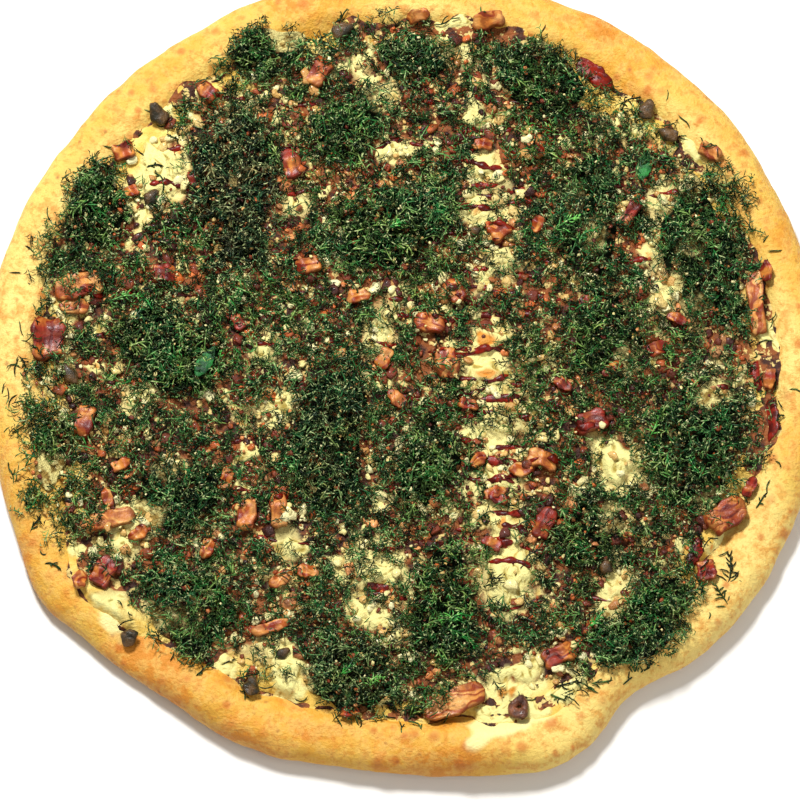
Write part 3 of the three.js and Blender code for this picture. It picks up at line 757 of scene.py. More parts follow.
def paint_bacon(paint):
    wobble = paint.times(paint.patches(0.006, 1.0, 0.3, 0.7), 1.2)
    place = paint.plus(paint.times(paint.number("across"), 0.3), wobble)
    inputs = {"W": place, "Scale": 1.0, "Detail": 1.0}
    bands = paint.add("ShaderNodeTexNoise", inputs, noise_dimensions="1D")
    redness, fried = paint.number("lean"), paint.patches(0.0035, 3.0, 0.44, 0.66)
    lean = paint.ramp(redness, (0, (164, 80, 22)), (0.45, (124, 34, 6)), (0.85, (78, 8, 8)))
    fat = paint.ramp(redness, (0, (218, 160, 88)), (0.45, (200, 124, 50)), (0.85, (146, 42, 26)))
    colour = paint.lay_on(
        paint.blend(paint.stretch(bands.outputs[0], 0.4, 0.6), lean, fat),
        (fried, 0.6, (112, 46, 16)),
        (paint.stretch(paint.number("edge"), 0.75, 1.0), 0.55, (92, 28, 14)),
    )
    return colour, paint.add("ShaderNodeMapRange", {"Value": fried, 3: 0.36, 4: 0.55}).outputs[0]


BACON_FINISH = make_finish("fried bacon", paint_bacon, 0.4, 0.002, 0.0002, coat=0.04, specular=0.3)
for piece, replaced in ((bacon, numbered("bacon", BACON)), (bacon_bits, [])):
    roughen(piece, BACON_FINISH, (0.006, 0.00022), (0.002, 0.0001))
    declare(piece, "bacon", *replaced)

# %% [markdown]
# ## The cheese
#
# The cheese melted into a sheet, and its larger crumbs stayed as lumps.  The sheet is a fine grid round
# the middle.  Its height is the rule above plus a dome for each lump: the large ones that the solid has,
# smaller ones seen between the dill, and a scatter of crumbs everywhere.

# %% Places that are open, thick with herbs or faded: middle, half length, half width, turn, how much so
FADED = [(-65, 73, 38, 17, 92, 1.0), (-20, -121, 19, 15, 0, 0.5), (-29, -28, 32, 17, 88, 0.5)]
OPENINGS = [
    (-102, -59, 10, 7, 20, 1.0), (-44, 135, 10, 5, 20, 1.0), (19, 133, 9, 6, 20, 0.8),
    (117, -10, 7, 5, 30, 1.0), (112, 89, 9, 7, 130, 1.0), (62, -127, 12, 7, 25, 1.0),
    (100, 30, 8, 5, 60, 1.0), (-15, -95, 10, 5, 145, 1.0), (78, -91, 8, 6, 60, 0.9),
    (39, -92, 8, 5, 10, 0.9), (-41, 67, 7, 5, 30, 0.7), (-17, 124, 8, 5, 70, 0.45),
    (79, -58, 6, 5, 0, 0.8), (34, -136, 11, 6, 20, 1.0), (99, 69, 6, 5, 80, 0.8), (72, 54, 6, 4, 100, 0.7),
    (-93, -97, 7, 5, 130, 0.7), (-3, 88, 8, 4, 5, 1.0), (85, 4, 6, 5, 90, 0.6), (-102, -11, 7, 5, 30, 0.7),
    (120, -66, 8, 5, 60, 0.9), (-8, 109, 6, 4, 60, 0.8), (-135, -41, 8, 5, 80, 1.0),
    (-88, 77, 8, 6, 80, 1.0), (-149, -36, 11, 7, 100, 1.0), (20, 140, 8, 5, 10, 0.9),
    (-106, -69, 8, 5, 30, 0.7), (143, 10, 8, 4, 90, 0.8), (-67, -118, 7, 5, 150, 0.9),
    (-89, -39, 6, 4, 20, 0.6), (109, 49, 5, 4, 0, 0.5), (111, 25, 5, 4, 0, 0.5), (109, 75, 5, 4, 0, 0.6),
    (139, -34, 5, 4, 80, 0.6), (115, -52, 5, 4, 0, 0.5), (-10, -50, 5, 4, 60, 0.5),
    (115, -86, 6, 4, 60, 0.6), (-7, -69, 6, 4, 140, 0.6), (75, -29, 5, 4, 140, 0.6),
    (25, 74, 5, 5, 0, 0.6), (-43, -128, 9, 6, 20, 1.0), (-139, 29, 7, 5, 80, 0.8),
    (-151, -4, 7, 4, 90, 0.8), (22, 126, 6, 4, 0, 0.6), (48, -134, 8, 5, 20, 0.8),
    (-3, -103, 5, 4, 0, 0.5), (-45, -68, 6, 4, 90, 0.6), (-46, -82, 6, 4, 30, 0.5),
    (-52, -109, 6, 4, 20, 0.6), (-1, 31, 5, 4, 0, 0.5), (-48, -13, 6, 5, 0, 0.6), (63, 68, 7, 5, 60, 0.4),
    (-82, -97, 7, 5, 120, 0.4), (138, 14, 8, 4, 95, 0.9),
]
TUFTS = [
    (89, -70, 9, 8, 60, 1.0), (39, 43, 8, 5, 0, 0.5), (42, -19, 8, 5, 0, 0.5), (12, -129, 6, 5, 20, 0.5),
    (106, 8, 8, 7, 90, 0.9), (34, 26, 11, 5, 5, 0.9), (-120, -58, 7, 5, 20, 0.7),
    (-34, -104, 9, 8, 30, 1.0), (-57, -116, 7, 6, 60, 0.5), (38, 71, 8, 5, 0, 0.45),
    (-124, 36, 9, 7, 10, 0.25), (-10, 23, 8, 5, 80, 0.45), (18, 8, 7, 6, 120, 0.2),
    (57, -102, 9, 4, 20, 0.8), (-17, -79, 7, 5, 165, 0.35), (-73, -64, 9, 7, 60, 0.7),
    (-67, 27, 10, 8, 80, 1.0), (128, 68, 12, 8, 110, 0.9), (44, 88, 6, 5, 0, 0.6),
    (-47, -139, 5, 4, 20, 0.4), (93, 21, 7, 6, 60, 0.9), (-5, -92, 6, 5, 60, 0.6),
    (73, 92, 9, 7, 140, 1.0), (17, 50, 8, 6, 80, 0.9), (46, 5, 8, 7, 60, 0.8), (-140, -18, 8, 6, 80, 0.9),
    (-102, -96, 7, 5, 0, 0.65), (-20, -88, 5, 4, 0, 0.6), (-59, -79, 9, 7, 60, 0.9),
    (-110, -89, 6, 5, 0, 0.35), (91, -22, 7, 5, 90, 0.8), (-104, -26, 8, 6, 0, 0.8),
    (-129, 2, 6, 5, 0, 0.6), (94, -52, 7, 6, 90, 0.9), (-86, 66, 8, 6, 0, 0.9), (99, 38, 5, 4, 0, 0.4),
    (28, -83, 5, 5, 0, 0.4), (10, 106, 6, 5, 0, 0.8), (-16, 143, 9, 5, 0, 0.6), (18, 4, 5, 4, 0, 0.25),
    (-57, -18, 6, 5, 0, 0.45), (18, -56, 6, 5, 0, 0.5),
]


def inside_piece(x, y, piece_x, piece_y, long, wide, turn, grow=0.0):
    """0 outside a piece's oval, rising to 1 in its middle."""
    along, across = along_across(x, y, piece_x, piece_y, turn)
    return np.clip(1 - np.hypot(along / (long + grow), across / (wide + grow)) ** 2, 0, 1)


def spot_share(x, y, spots):
    """How far into one of the spots a point is, from 0 to 1, with broken edges."""
    broken = 0.6 * (patchy(x, y, 4, 66) - 0.5)
    total = np.zeros(np.shape(x))
    for spot_x, spot_y, long, wide, turn, most in spots:
        near = inside_piece(x, y, spot_x, spot_y, long, wide, turn, 2)
        total = np.maximum(total, most * soft_step(near + broken * (near > 0), 0.05, 0.45))
    return total


# %% Lumps: middle, half length, half width, turn, height as a share of the mean lump's, browned share
LUMPS = [
    (-95, 80, 12, 7, 80, 1.0, 0.1), (-14, 114, 7, 4.5, 60, 0.8, 0.1), (26, 104, 5.5, 5, 100, 0.9, 0.3),
    (30, 83, 7, 4.5, 10, 0.9, 0.2), (27, 64, 7, 4.5, 160, 1.0, 0.5), (36, 43, 8, 5.5, 30, 1.0, 0.1),
    (32, 13, 9, 5, 0, 1.1, 1.0), (33, -1, 8, 6, 15, 1.1, 1.0), (38, -22, 10, 5, 175, 1.0, 0.1),
    (37, -60, 7, 5, 150, 1.0, 0.7), (39, -81, 11, 9.5, 30, 1.3, 0.1), (81, -37, 9, 8, 90, 1.5, 0.0),
    (-54, 8, 6, 5, 70, 0.9, 0.1), (-10, 16, 10, 5.5, 80, 0.9, 0.2), (-43, -70, 7, 6, 120, 1.0, 0.2),
    (-15, -80, 12, 7, 165, 1.1, 0.1), (-108, -94, 12, 6, 140, 1.0, 0.2), (-45, -121, 12, 8, 85, 1.4, 0.2),
    (42, -119, 10, 4.5, 10, 0.9, 0.0),
]
SMALL_LUMPS = [
    (15, 139, 6, 4, 40, 0.6, 0.1), (-64, 108, 5, 4, 10, 0.6, 0.3), (104, -67, 4, 3, 60, 0.6, 0.1),
    (93, 46, 6, 4, 80, 0.6, 0.5), (-59, -31, 5, 4, 30, 0.6, 0.4), (-124, -71, 5, 3, 10, 0.6, 0.2),
    (-102, 62, 6, 4, 100, 0.6, 0.1), (-118, 1, 5, 4, 50, 0.5, 0.6), (-134, -8, 5, 4, 20, 0.5, 0.8),
    (-136, -37, 4, 3, 0, 0.5, 0.1), (-10, -99, 6, 4, 150, 0.8, 0.1), (31, -144, 7, 4, 30, 0.5, 0.2),
    (80, -88, 6, 5, 60, 0.9, 0.3), (84, -65, 6, 3.5, 10, 0.8, 0.5), (76, -52, 4, 3, 0, 0.8, 0.5),
    (-34, -98, 4, 3, 20, 0.7, 0.2), (90, -23, 5, 3, 0, 0.8, 0.1), (-7, -4, 6, 4, 20, 0.7, 0.3),
    (24, -26, 6, 4, 30, 0.8, 0.1), (35, -43, 7, 4, 160, 0.8, 0.2), (23, -48, 5, 4, 60, 0.7, 0.1),
    (42, -65, 6, 4, 20, 0.8, 0.2), (93, 18, 7, 4, 70, 0.7, 0.4), (104, 12, 5, 4, 20, 0.7, 0.6),
]
CRUMBS = 260
CRUMB_RADIUS = (2.4, 4.6)
CRUMB_HEIGHT = (0.25, 0.6)
TOPPING_RADIUS = 141.0

# Places where the sheet is thick and stays cream: middle, half length, half width, turn, and how cream.
CREAM_ZONES = [
    (33, 62, 58, 11, 92, 1.0), (36, -8, 38, 13, 88, 1.0), (-99, 84, 25, 12, 75, 1.0),
    (-45, -126, 20, 13, 85, 1.0), (-112, -98, 18, 10, 140, 1.0), (44, -128, 30, 14, 12, 1.0),
    (39, -80, 15, 14, 30, 1.0), (81, -38, 14, 13, 90, 1.0), (-14, -80, 20, 13, 165, 0.9),
    (84, -76, 16, 10, 70, 0.9), (-10, 18, 14, 9, 80, 0.7), (-52, 10, 12, 9, 60, 0.7),
    (-126, -70, 20, 8, 100, 0.8), (-132, 30, 40, 8, 95, 0.6), (130, -70, 26, 14, 60, 1.0),
    (96, 48, 22, 8, 85, 0.7), (15, 138, 14, 6, 10, 0.8), (-64, 108, 12, 8, 40, 0.6),
    (-30, 139, 26, 7, 12, 0.6), (86, 108, 20, 8, 130, 0.6), (-82, -124, 20, 9, 145, 0.7),
    (-60, -118, 20, 10, 160, 1.0), (-104, -56, 14, 9, 20, 0.8), (108, 8, 12, 14, 90, 0.7),
    (-54, -19, 9, 8, 0, 0.8), (36, -50, 26, 13, 95, 1.0), (94, 20, 12, 9, 60, 0.9),
]


def cream_share(x, y):
    """How thick and cream the sheet is, from 0 to 1; under the tufts it is taken down, for a painted shade.
    """
    total = np.zeros(np.shape(x))
    broken = 0.8 * (patchy(x, y, 6, 75) - 0.5) + 0.6 * (patchy(x, y, 3, 76) - 0.5)
    for zone_x, zone_y, long, wide, turn, most in CREAM_ZONES:
        along, across = along_across(x, y, zone_x, zone_y, turn)
        share = np.hypot(along / long, across / wide) + broken
        total = np.maximum(total, most * (1 - soft_step(share, 0.6, 0.95)))
    return np.maximum(total * (1 - spot_share(x, y, TUFTS)), spot_share(x, y, OPENINGS))


# %% Height of the lumps over the sheet


def crumb_list(seed):
    dice = np.random.default_rng(seed)
    crumbs = []
    for _ in range(CRUMBS):
        reach, angle = TOPPING_RADIUS * math.sqrt(dice.uniform()), dice.uniform(0, 2 * math.pi)
        long = dice.uniform(*CRUMB_RADIUS)
        crumbs.append(
            (
                reach * math.cos(angle), reach * math.sin(angle), long, long * dice.uniform(0.55, 0.95),
                dice.uniform(0, 180), dice.uniform(*CRUMB_HEIGHT), 0.8 * dice.uniform() ** 2,
            )
        )
    return crumbs


OPEN_LUMPS = [
    (x, y, 0.8 * long, 0.8 * wide, turn, 0.7 * most, 0.1) for x, y, long, wide, turn, most in OPENINGS
]
ALL_LUMPS = LUMPS + SMALL_LUMPS + OPEN_LUMPS + crumb_list(seed=11)


def dome(share):
    """Height of a lump at a share of its half width: 1 in the middle, 0 at the edge, with steep sides."""
    return np.interp(share, [0, 0.5, 0.75, 0.88, 0.96, 1.0], [1, 0.88, 0.66, 0.4, 0.15, 0])


def lump_relief(x, y):
    """Height of the lumps in millimetres, how far up a lump the point is, how browned, and how folded."""
    bent_x = x + 5 * (patchy(x, y, 5, 81) - 0.5) + 2 * (patchy(x, y, 2.6, 82) - 0.5)
    bent_y = y + 5 * (patchy(x, y, 5, 83) - 0.5) + 2 * (patchy(x, y, 2.6, 84) - 0.5)
    curl_phase = 7 * patchy(x, y, 6, 85)
    fold = 1 - np.abs(2 * patchy(x, y, 4.2, 86) - 1)
    height, middle, toast = (np.zeros(x.shape) for _ in range(3))
    for lump_x, lump_y, long, wide, turn, tall, brown_share in ALL_LUMPS:
        near = np.abs(bent_x - lump_x) + np.abs(bent_y - lump_y) < 2.4 * long
        if not near.any():
            continue
        along, across = along_across(bent_x[near], bent_y[near], lump_x, lump_y, turn)
        sag = 1 + 0.14 * np.sin(3 * np.arctan2(across / wide, along / long) + lump_x)
        share = np.hypot(along / long, across / wide) / sag
        ripple = np.abs(np.sin(0.55 * long * share + 0.6 * curl_phase[near]))
        raised = LUMP_HEIGHT * tall * dome(share) * (0.5 + 0.6 * ripple**0.6)
        higher = raised > height[near]
        here = (raised, dome(share), brown_share * np.exp(-((share / 0.5) ** 2)), ripple)
        for kept, new in zip((height, middle, toast, fold), here):
            kept[near] = np.where(higher, new, kept[near])
    return height, middle, toast, fold


# %% The sheet of cheese, closed below
CHEESE_COLUMNS, CHEESE_ROWS = 620, 118
CHEESE_LIFT = 0.15
angles = np.arange(CHEESE_COLUMNS) * 2 * math.pi / CHEESE_COLUMNS
edge_of_cheese = cheese_radius(angles) + 0.8 * np.sin(23 * angles) + 0.6 * np.sin(37 * angles + 1)
edge_of_cheese += 2.4 * (patchy(141 * np.cos(angles), 141 * np.sin(angles), 5, 88) - 0.5)
shares = np.linspace(0, 1, CHEESE_ROWS + 1)[1:] ** 0.8
reach = shares[:, None] * edge_of_cheese
x, y = reach * np.cos(angles), reach * np.sin(angles)
lumps, lump_middle, lump_toast, folds = lump_relief(x, y)
# Painted shade: under the tufts the lumps take the dark colour of the sheet between them.
lump_middle = lump_middle * (1 - spot_share(x, y, TUFTS))
brim = soft_step(shares[:, None] + 0.04 * (patchy(x, y, 7, 89) - 0.5), 0.9, 0.94)
brim = brim * (1 - soft_step(lump_middle, 0.1, 0.5))
edge_fade = 1 - soft_step(shares, 0.965, 0.998)[:, None]
top = cheese_height(reach, np.broadcast_to(angles, reach.shape)) + CHEESE_LIFT + lumps
dough = inner_slope(outline_radius(angles) - reach, rim_swell(angles))
top = edge_fade * top + (1 - edge_fade) * (dough - 0.7)
reach_below = np.array([1.0, 0.985, 0.8, 0.4])[:, None] * edge_of_cheese
dough_below = inner_slope(outline_radius(angles) - reach_below, rim_swell(angles)) + 0.2
dough_below[0] = np.minimum(dough_below[0], top[-1] - 0.05)
under = np.stack([reach_below * np.cos(angles), reach_below * np.sin(angles), dough_below], -1)
sheet = np.concatenate([under[::-1], np.stack([x, y, top], -1)[::-1]])


def on_sheet(values):
    """Numbers of the upper side for the whole shell: 0 on its underside and at its end points."""
    return np.concatenate([np.zeros(under[..., 0].size), values[::-1].reshape(-1), [0, 0]])


numbers = {"lump": lump_middle, "toast": lump_toast, "outer": cream_share(x, y)}
numbers.update(fold=folds, brim=brim)
cheese_heap = Heap()
cheese_heap.add(
    *closed(sheet, (0, 0, FLOOR_HEIGHT + 0.2), (0, 0, CHEESE_TOP + CHEESE_LIFT)),
    **{key: on_sheet(values) for key, values in numbers.items()},
)
cheese = cheese_heap.make("cheese_melted")

# %% [markdown]
# Fresh cheese is cream.  Where it ran thin over the dough it takes up fat and spice and turns yellow to
# tan, and the tips of some lumps brown.  Between the lumps it is dark brown to near black, partly stained
# by sauce and fat and partly painted shade under the herbs, and the valleys of its folds are painted a
# darker yellow as shade.

# %% Finish of the cheese


def paint_cheese(paint):
    # Painted shade in the folds: their valleys are a darker yellow, their ridges cream.
    lit_ridges = paint.stretch(paint.number("fold"), 0.1, 0.5)
    # Between the lumps the sheet is dark brown to near black: partly stained by sauce and fat, partly
    # painted shade under the herbs.
    low = paint.blend(paint.patches(0.006, 5.0, 0.42, 0.6), (136, 74, 28), (52, 22, 10))
    low = paint.blend(paint.patches(0.0045, 4.0, 0.56, 0.6), low, (210, 184, 112))
    low = paint.blend(paint.number("outer"), low, paint.blend(lit_ridges, (202, 174, 90), (228, 214, 138)))
    cream = paint.blend(lit_ridges, (160, 138, 56), (224, 214, 138))
    colour = paint.blend(paint.stretch(paint.number("lump"), 0.1, 0.6), low, cream)
    brim = paint.blend(paint.patches(0.008, 6.0, 0.44, 0.66), (216, 176, 76), (236, 208, 116))
    return paint.lay_on(
        paint.blend(paint.number("brim"), colour, brim),
        (paint.stretch(paint.number("toast"), 0.15, 0.55), 0.85, (208, 126, 30)),
        (paint.specks(0.004, 0.34, 0.16), 0.6, (160, 84, 30)),
    )


CHEESE = make_finish("melted cheese", paint_cheese, 0.52, 0.0022, 0.0005, specular=0.25)
roughen(cheese, CHEESE, (0.006, 0.0005), (0.0022, 0.00025), flat_below=0.0065)
declare(cheese, "cheese", "cheese")

# %% [markdown]
# ## Mushrooms and leaves
#
# A few dried mushroom slices lie among the rest: small brown drops, one of them a curled ring.  Two plain
# green leaves lie on the herbs.  Drops and rings are rings of points too, so the same heap takes them.

# %% Mushroom slices
MUSHROOM_THICKNESS = 4.2
MUSHROOMS = [
    (-95, 102, 9, 6.5, 120), (-24, 136, 9, 5.5, 20), (93, 104, 8, 6, 60), (-104, -106, 7, 6, 30),
    (-58, -125, 8, 6, 80),
]
SMALL_MUSHROOMS = [
    (-97, 69, 7, 5, 40), (101, 94, 8, 5, 150), (-46, -112, 6, 4, 30), (76, -78, 6, 5, 90),
    (-128, -2, 9, 5, 120), (27, 55, 5, 4, 20), (-88, 62, 6, 4, 70),
]
RING_SLICE = (43, -133, 9.5, 8, 70)
RING_SHARE = 0.42


def drop_heap(rows):
    heap = Heap()
    for x, y, long, wide, turn in rows:
        tilt = np.linspace(-math.pi / 2, math.pi / 2, 18)[1:-1, None]
        around = np.arange(32)[None] * 2 * math.pi / 32
        creased = 1 + 0.07 * np.sin(5 * around + x) * np.cos(tilt) + 0.06 * np.sin(3 * tilt + 2 * around)
        along = np.cos(tilt) * np.cos(around) * creased
        across = np.cos(tilt) * np.sin(around) * creased * (1 - 0.35 * along)
        height = (np.broadcast_to(np.sin(tilt), along.shape) + 1) * MUSHROOM_THICKNESS / 2 + CLEARANCE
        drop = np.stack([along * long / 2, across * wide / 2, height], -1)
        points, shape = closed(drop, (0, 0, CLEARANCE), (0, 0, MUSHROOM_THICKNESS + CLEARANCE))
        heap.add(settle(points, turn, x, y), shape)
    return heap


mushrooms = drop_heap(MUSHROOMS).make("mushroom_slices")
small_mushrooms = drop_heap(SMALL_MUSHROOMS).make("mushroom_bits")

# %% The curled ring, a tube closed on itself


def ring_slice(x, y, long, wide, turn, steps=40, sides=14):
    around = np.arange(steps)[:, None] * 2 * math.pi / steps
    tube = np.arange(sides)[None] * 2 * math.pi / sides
    lip = RING_SHARE * (1 + 0.12 * np.sin(2 * around + 1) + 0.08 * np.sin(5 * around))
    reach = (1 - RING_SHARE) + lip * np.cos(tube)
    along, across = reach * np.cos(around), reach * np.sin(around)
    height = np.sin(tube) * lip / RING_SHARE * MUSHROOM_THICKNESS / 2
    height = np.broadcast_to(height, along.shape) + MUSHROOM_THICKNESS / 2 + CLEARANCE
    points = np.stack([along * long / 2, across * (1 - 0.35 * along) * wide / 2, height], -1)
    grid = np.arange(steps * sides).reshape(steps, sides)
    on, beside = np.roll(grid, -1, axis=0), np.roll(grid, -1, axis=1)
    quads = np.stack([grid, on, np.roll(on, -1, axis=1), beside], -1).reshape(-1, 4)
    return settle(points.reshape(-1, 3), turn, x, y), quads.tolist()


ring_points, ring_faces = ring_slice(*RING_SLICE)
ring = make_piece("mushroom_ring", ring_points, ring_faces)

# %% Finish of the mushrooms


def paint_patchy(size, low, high, dark, light, detail=4.0):
    """Two colours in soft patches."""
    return lambda paint: paint.blend(paint.patches(size, detail, low, high), dark, light)


OLIVE_BROWN = paint_patchy(0.004, 0.35, 0.68, (36, 30, 12), (98, 68, 32))
RED_BROWN = paint_patchy(0.004, 0.35, 0.68, (62, 30, 18), (134, 80, 52))
MUSHROOM = make_finish("dried mushroom", OLIVE_BROWN, 0.4, 0.0012, 0.0003, coat=0.1, specular=0.4)
BROWNED_MUSHROOM = make_finish("browned mushroom", RED_BROWN, 0.4, 0.0012, 0.0003, coat=0.1, specular=0.4)
for piece, finish, replaced in (
    (mushrooms, MUSHROOM, numbered("mushroom", MUSHROOMS)), (small_mushrooms, MUSHROOM, []),
    (ring, BROWNED_MUSHROOM, ["mushroom_06"]),
):
    roughen(piece, finish, (0.003, 0.0003), (0.0012, 0.00015))
    declare(piece, "mushroom", *replaced)

# %% Leaves
LEAF_THICKNESS = 0.9
LEAVES = [(92, 82, 13, 6, 75, 1.6), (-76, 2, 14, 6, 60, 6)]
leaf_heap = Heap()
for x, y, long, wide, turn, lift in LEAVES:
    # Rings round the long axis: a thin lens at each step from stem to tip.
    steps = np.linspace(0.02, 0.98, 34)[:, None]
    around = np.arange(20)[None] * 2 * math.pi / 20
    width = (0.12 + 0.88 * np.sin(math.pi * steps**0.8)) * wide / 2
    width = width * (1 + 0.05 * np.sin(40 * steps))
    across = np.cos(around) * width
    rib = 0.25 * np.exp(-((across / 0.5) ** 2))
    veins = 0.12 * np.sin(28 * steps + 3 * np.abs(across))
    ripple = 0.5 * np.sin(2 * math.pi * steps) - 0.35 * (2 * across / wide) ** 2
    height = np.sin(around) * LEAF_THICKNESS / 2 * 0.8 + ripple + lift + (veins - rib)
    blade = np.stack([np.broadcast_to((steps - 0.5) * long, across.shape), across, height], -1)
    points, shape = closed(blade, (-long / 2, 0, lift), (long / 2, 0, lift))
    leaf_heap.add(settle(points, turn, x, y), shape)
leaves = leaf_heap.make("leaves_plain")
LEAF_GREEN = paint_patchy(0.004, 0.35, 0.65, (10, 54, 24), (36, 124, 50))
leaves.data.materials.append(make_finish("leaf", LEAF_GREEN, 0.45, 0.001, 0.0002, specular=0.3))
declare(leaves, "leaf", *numbered("leaf", LEAVES))

# %% [markdown]
# ## Laying many small pieces
#
# Crumbs of bacon and the herbs are many small pieces of a few shapes.  A second tree of Geometry Nodes
# scatters them: it spreads points over a carrier surface as thickly as the attribute `cover` says, lays
# a shape on each, turns it by chance, and makes the instances real.  Each shape keeps a random `tone`.

# %% The scatter tree


def scatter_tree():
    tree, nodes, given = new_tree(
        "Scatter", "GeometryNodeTree", "Geometry", Geometry=None, Shapes=None, Density=100000.0,
        Smallest=0.7, Largest=1.2, Lean=0.4, Lift=0.001, Depth_share=0.7, Seed=0, Material=None,
    )
    cover, depth = (
        nodes.add("GeometryNodeInputNamedAttribute", {"Name": name}, data_type="FLOAT").outputs[0]
        for name in ("cover", "depth")
    )
    spread = nodes.add(
        "GeometryNodeDistributePointsOnFaces",
        {"Mesh": given["Geometry"], "Density": nodes.times(cover, given["Density"]), "Seed": given["Seed"]},
    )

    def chance(low, high, offset):
        inputs = {2: low, 3: high, "Seed": nodes.plus(given["Seed"], float(offset))}
        return nodes.add("FunctionNodeRandomValue", inputs, data_type="FLOAT").outputs[1]

    rise = nodes.times(chance(0.0, 1.0, 1), nodes.plus(nodes.times(depth, 0.3), given["Lift"]))
    rise = nodes.plus(rise, nodes.times(depth, given["Depth share"]))
    up = nodes.add("ShaderNodeCombineXYZ", {"Z": rise}).outputs[0]
    raised = nodes.add("GeometryNodeSetPosition", {"Geometry": spread.outputs["Points"], "Offset": up})
    patterns = nodes.add(
        "GeometryNodeCollectionInfo",
        {"Collection": given["Shapes"], "Separate Children": True, "Reset Children": True},
    )
    lean, other_way = given["Lean"], nodes.times(given["Lean"], -1.0)
    turns = {"X": chance(other_way, lean, 2), "Y": chance(other_way, lean, 3)}
    turns["Z"] = chance(0.0, 2 * math.pi, 4)
    laid = nodes.add(
        "GeometryNodeInstanceOnPoints",
        {"Points": raised.outputs[0], "Instance": patterns.outputs[0], "Pick Instance": True,
         "Rotation": nodes.add("ShaderNodeCombineXYZ", turns).outputs[0],
         "Scale": chance(given["Smallest"], given["Largest"], 5)},
    )
    toned = nodes.add(
        "GeometryNodeStoreNamedAttribute",
        {"Geometry": laid.outputs[0], "Name": "tone", "Value": chance(0.0, 1.0, 6)},
        data_type="FLOAT", domain="INSTANCE",
    )
    real = nodes.add("GeometryNodeRealizeInstances", {"Geometry": toned.outputs[0]})
    end_with_material(nodes, real.outputs[0], given["Material"])
    return tree


SCATTER = scatter_tree()

# %% Collections of shapes to scatter
COLLECTIONS = []


def shape_collection(name, pieces):
    """The pieces are only patterns: they are taken out of the scene and kept in a collection."""
    shapes = bpy.data.collections.new(name)
    for piece in pieces:
        bpy.context.scene.collection.objects.unlink(piece)
        shapes.objects.link(piece)
    COLLECTIONS.append(shapes)
    return shapes


def drop_shapes():
    """Takes the patterns away once all are scattered."""
    for shapes in COLLECTIONS:
        for piece in list(shapes.objects):
            bpy.data.objects.remove(piece)
        bpy.data.collections.remove(shapes)


# %% A carrier: a square grid over the toppings, with what lies there as attributes
CARRIER_STEP = 2.0


def carrier(name, above, cover_rule, depth_rule, limit):
    """It lies that far above all that is laid, and reaches out to the limit."""
    count = int(2 * limit / CARRIER_STEP) + 1
    line = (np.arange(count) - (count - 1) / 2) * CARRIER_STEP
    x, y = (values.reshape(-1) for values in np.meshgrid(line, line, indexing="ij"))
    grid = np.arange(count * count).reshape(count, count)
    quads = np.stack([grid[:-1, :-1], grid[1:, :-1], grid[1:, 1:], grid[:-1, 1:]], -1).reshape(-1, 4)
    used = np.hypot(x, y)[quads].max(1) < limit
    return make_piece(
        name, np.stack([x, y, laid_height(x, y) + above], -1), quads[used].tolist(),
        cover=np.clip(cover_rule(x, y), 0, None), depth=depth_rule(x, y) * MM,
        faded=spot_share(x, y, FADED),
    )


def lay(name, slot, finish, shapes, cover_rule, depth_rule, limit, above=0.4, **values):
    """Scatters the shapes over a carrier, and keeps them as one piece."""
    piece = carrier(name, above, cover_rule, depth_rule, limit)
    run_tree(piece, SCATTER, Shapes=shapes, Material=finish, **values)
    declare(piece, slot)


# %% [markdown]
# ## What lies where
#
# The herbs lie in clumps with thinner cover between them, and leave clearings over the lumps and the
# bacon.  The rule below gives the height of all that lies under the herbs, and how thickly they cover it.

# %% Height of everything that is laid before the herbs


def laid_height(x, y):
    ground = ground_height(x, y)
    height = ground + lump_relief(x, y)[0]
    for piece_x, piece_y, long, wide, turn, arch, _ in BACON:
        over = soft_step(inside_piece(x, y, piece_x, piece_y, long * 0.56, wide * 0.56, turn), 0, 0.35)
        height = np.maximum(height, ground + over * (BACON_THICKNESS + CLEARANCE + arch))
    return height


# %% Clumps of dill: middle, half length, half width, turn, height
DILL = [
    (-118, 64, 18, 14, 85, 5.5), (-65, 73, 38, 17, 92, 5.8), (-52, 127, 17, 10, 20, 4.8),
    (-22, 97, 16, 14, 60, 5.0), (-6, 57, 24, 19, 0, 6.4), (6, 126, 18, 11, 0, 4.6),
    (52, 115, 19, 15, 155, 6.0), (69, 60, 30, 14, 92, 5.4), (113, 46, 34, 16, 98, 6.0),
    (110, -28, 30, 19, 84, 6.4), (90, -99, 24, 15, 45, 6.0), (14, -93, 24, 15, 85, 5.4),
    (-20, -121, 19, 15, 0, 6.4), (-82, -94, 21, 17, 120, 6.0), (-87, -49, 20, 17, 10, 5.4),
    (-134, -33, 18, 7, 80, 4.2), (-90, 8, 26, 18, 150, 5.4), (-29, -28, 32, 17, 88, 5.6),
    (77, 14, 18, 16, 100, 5.2), (8, -38, 19, 14, 80, 5.0), (71, -63, 18, 13, 80, 5.2),
]
# Bare places: middle, half length, half width, turn, and how bare.
CLEARINGS = [
    (35, 60, 56, 10, 90, 0.5), (34, -15, 34, 12, 90, 0.5), (-98, 84, 24, 11, 75, 0.95),
    (-45, -125, 17, 10, 85, 0.9), (-110, -96, 15, 8, 140, 0.85), (45, -125, 24, 9, 10, 0.95),
    (38, -81, 11, 10, 30, 0.9), (80, -38, 10, 9, 90, 0.95), (12, 8, 15, 11, 90, 0.8),
    (-15, -80, 13, 8, 165, 0.85), (130, -66, 20, 12, 60, 0.8), (18, -130, 14, 7, 24, 0.85),
    (-60, -118, 18, 9, 160, 0.95), (-102, -57, 14, 10, 20, 0.75), (112, 88, 9, 7, 30, 0.8),
    (108, 8, 12, 15, 90, 0.7), (64, 58, 8, 8, 0, 0.6), (-54, -19, 9, 8, 0, 0.7),
    (35, -50, 26, 12, 95, 0.6), (-126, 27, 13, 8, 10, 0.7), (135, 14, 20, 6, 95, 0.8),
    (138, -20, 14, 6, 92, 0.9),
]
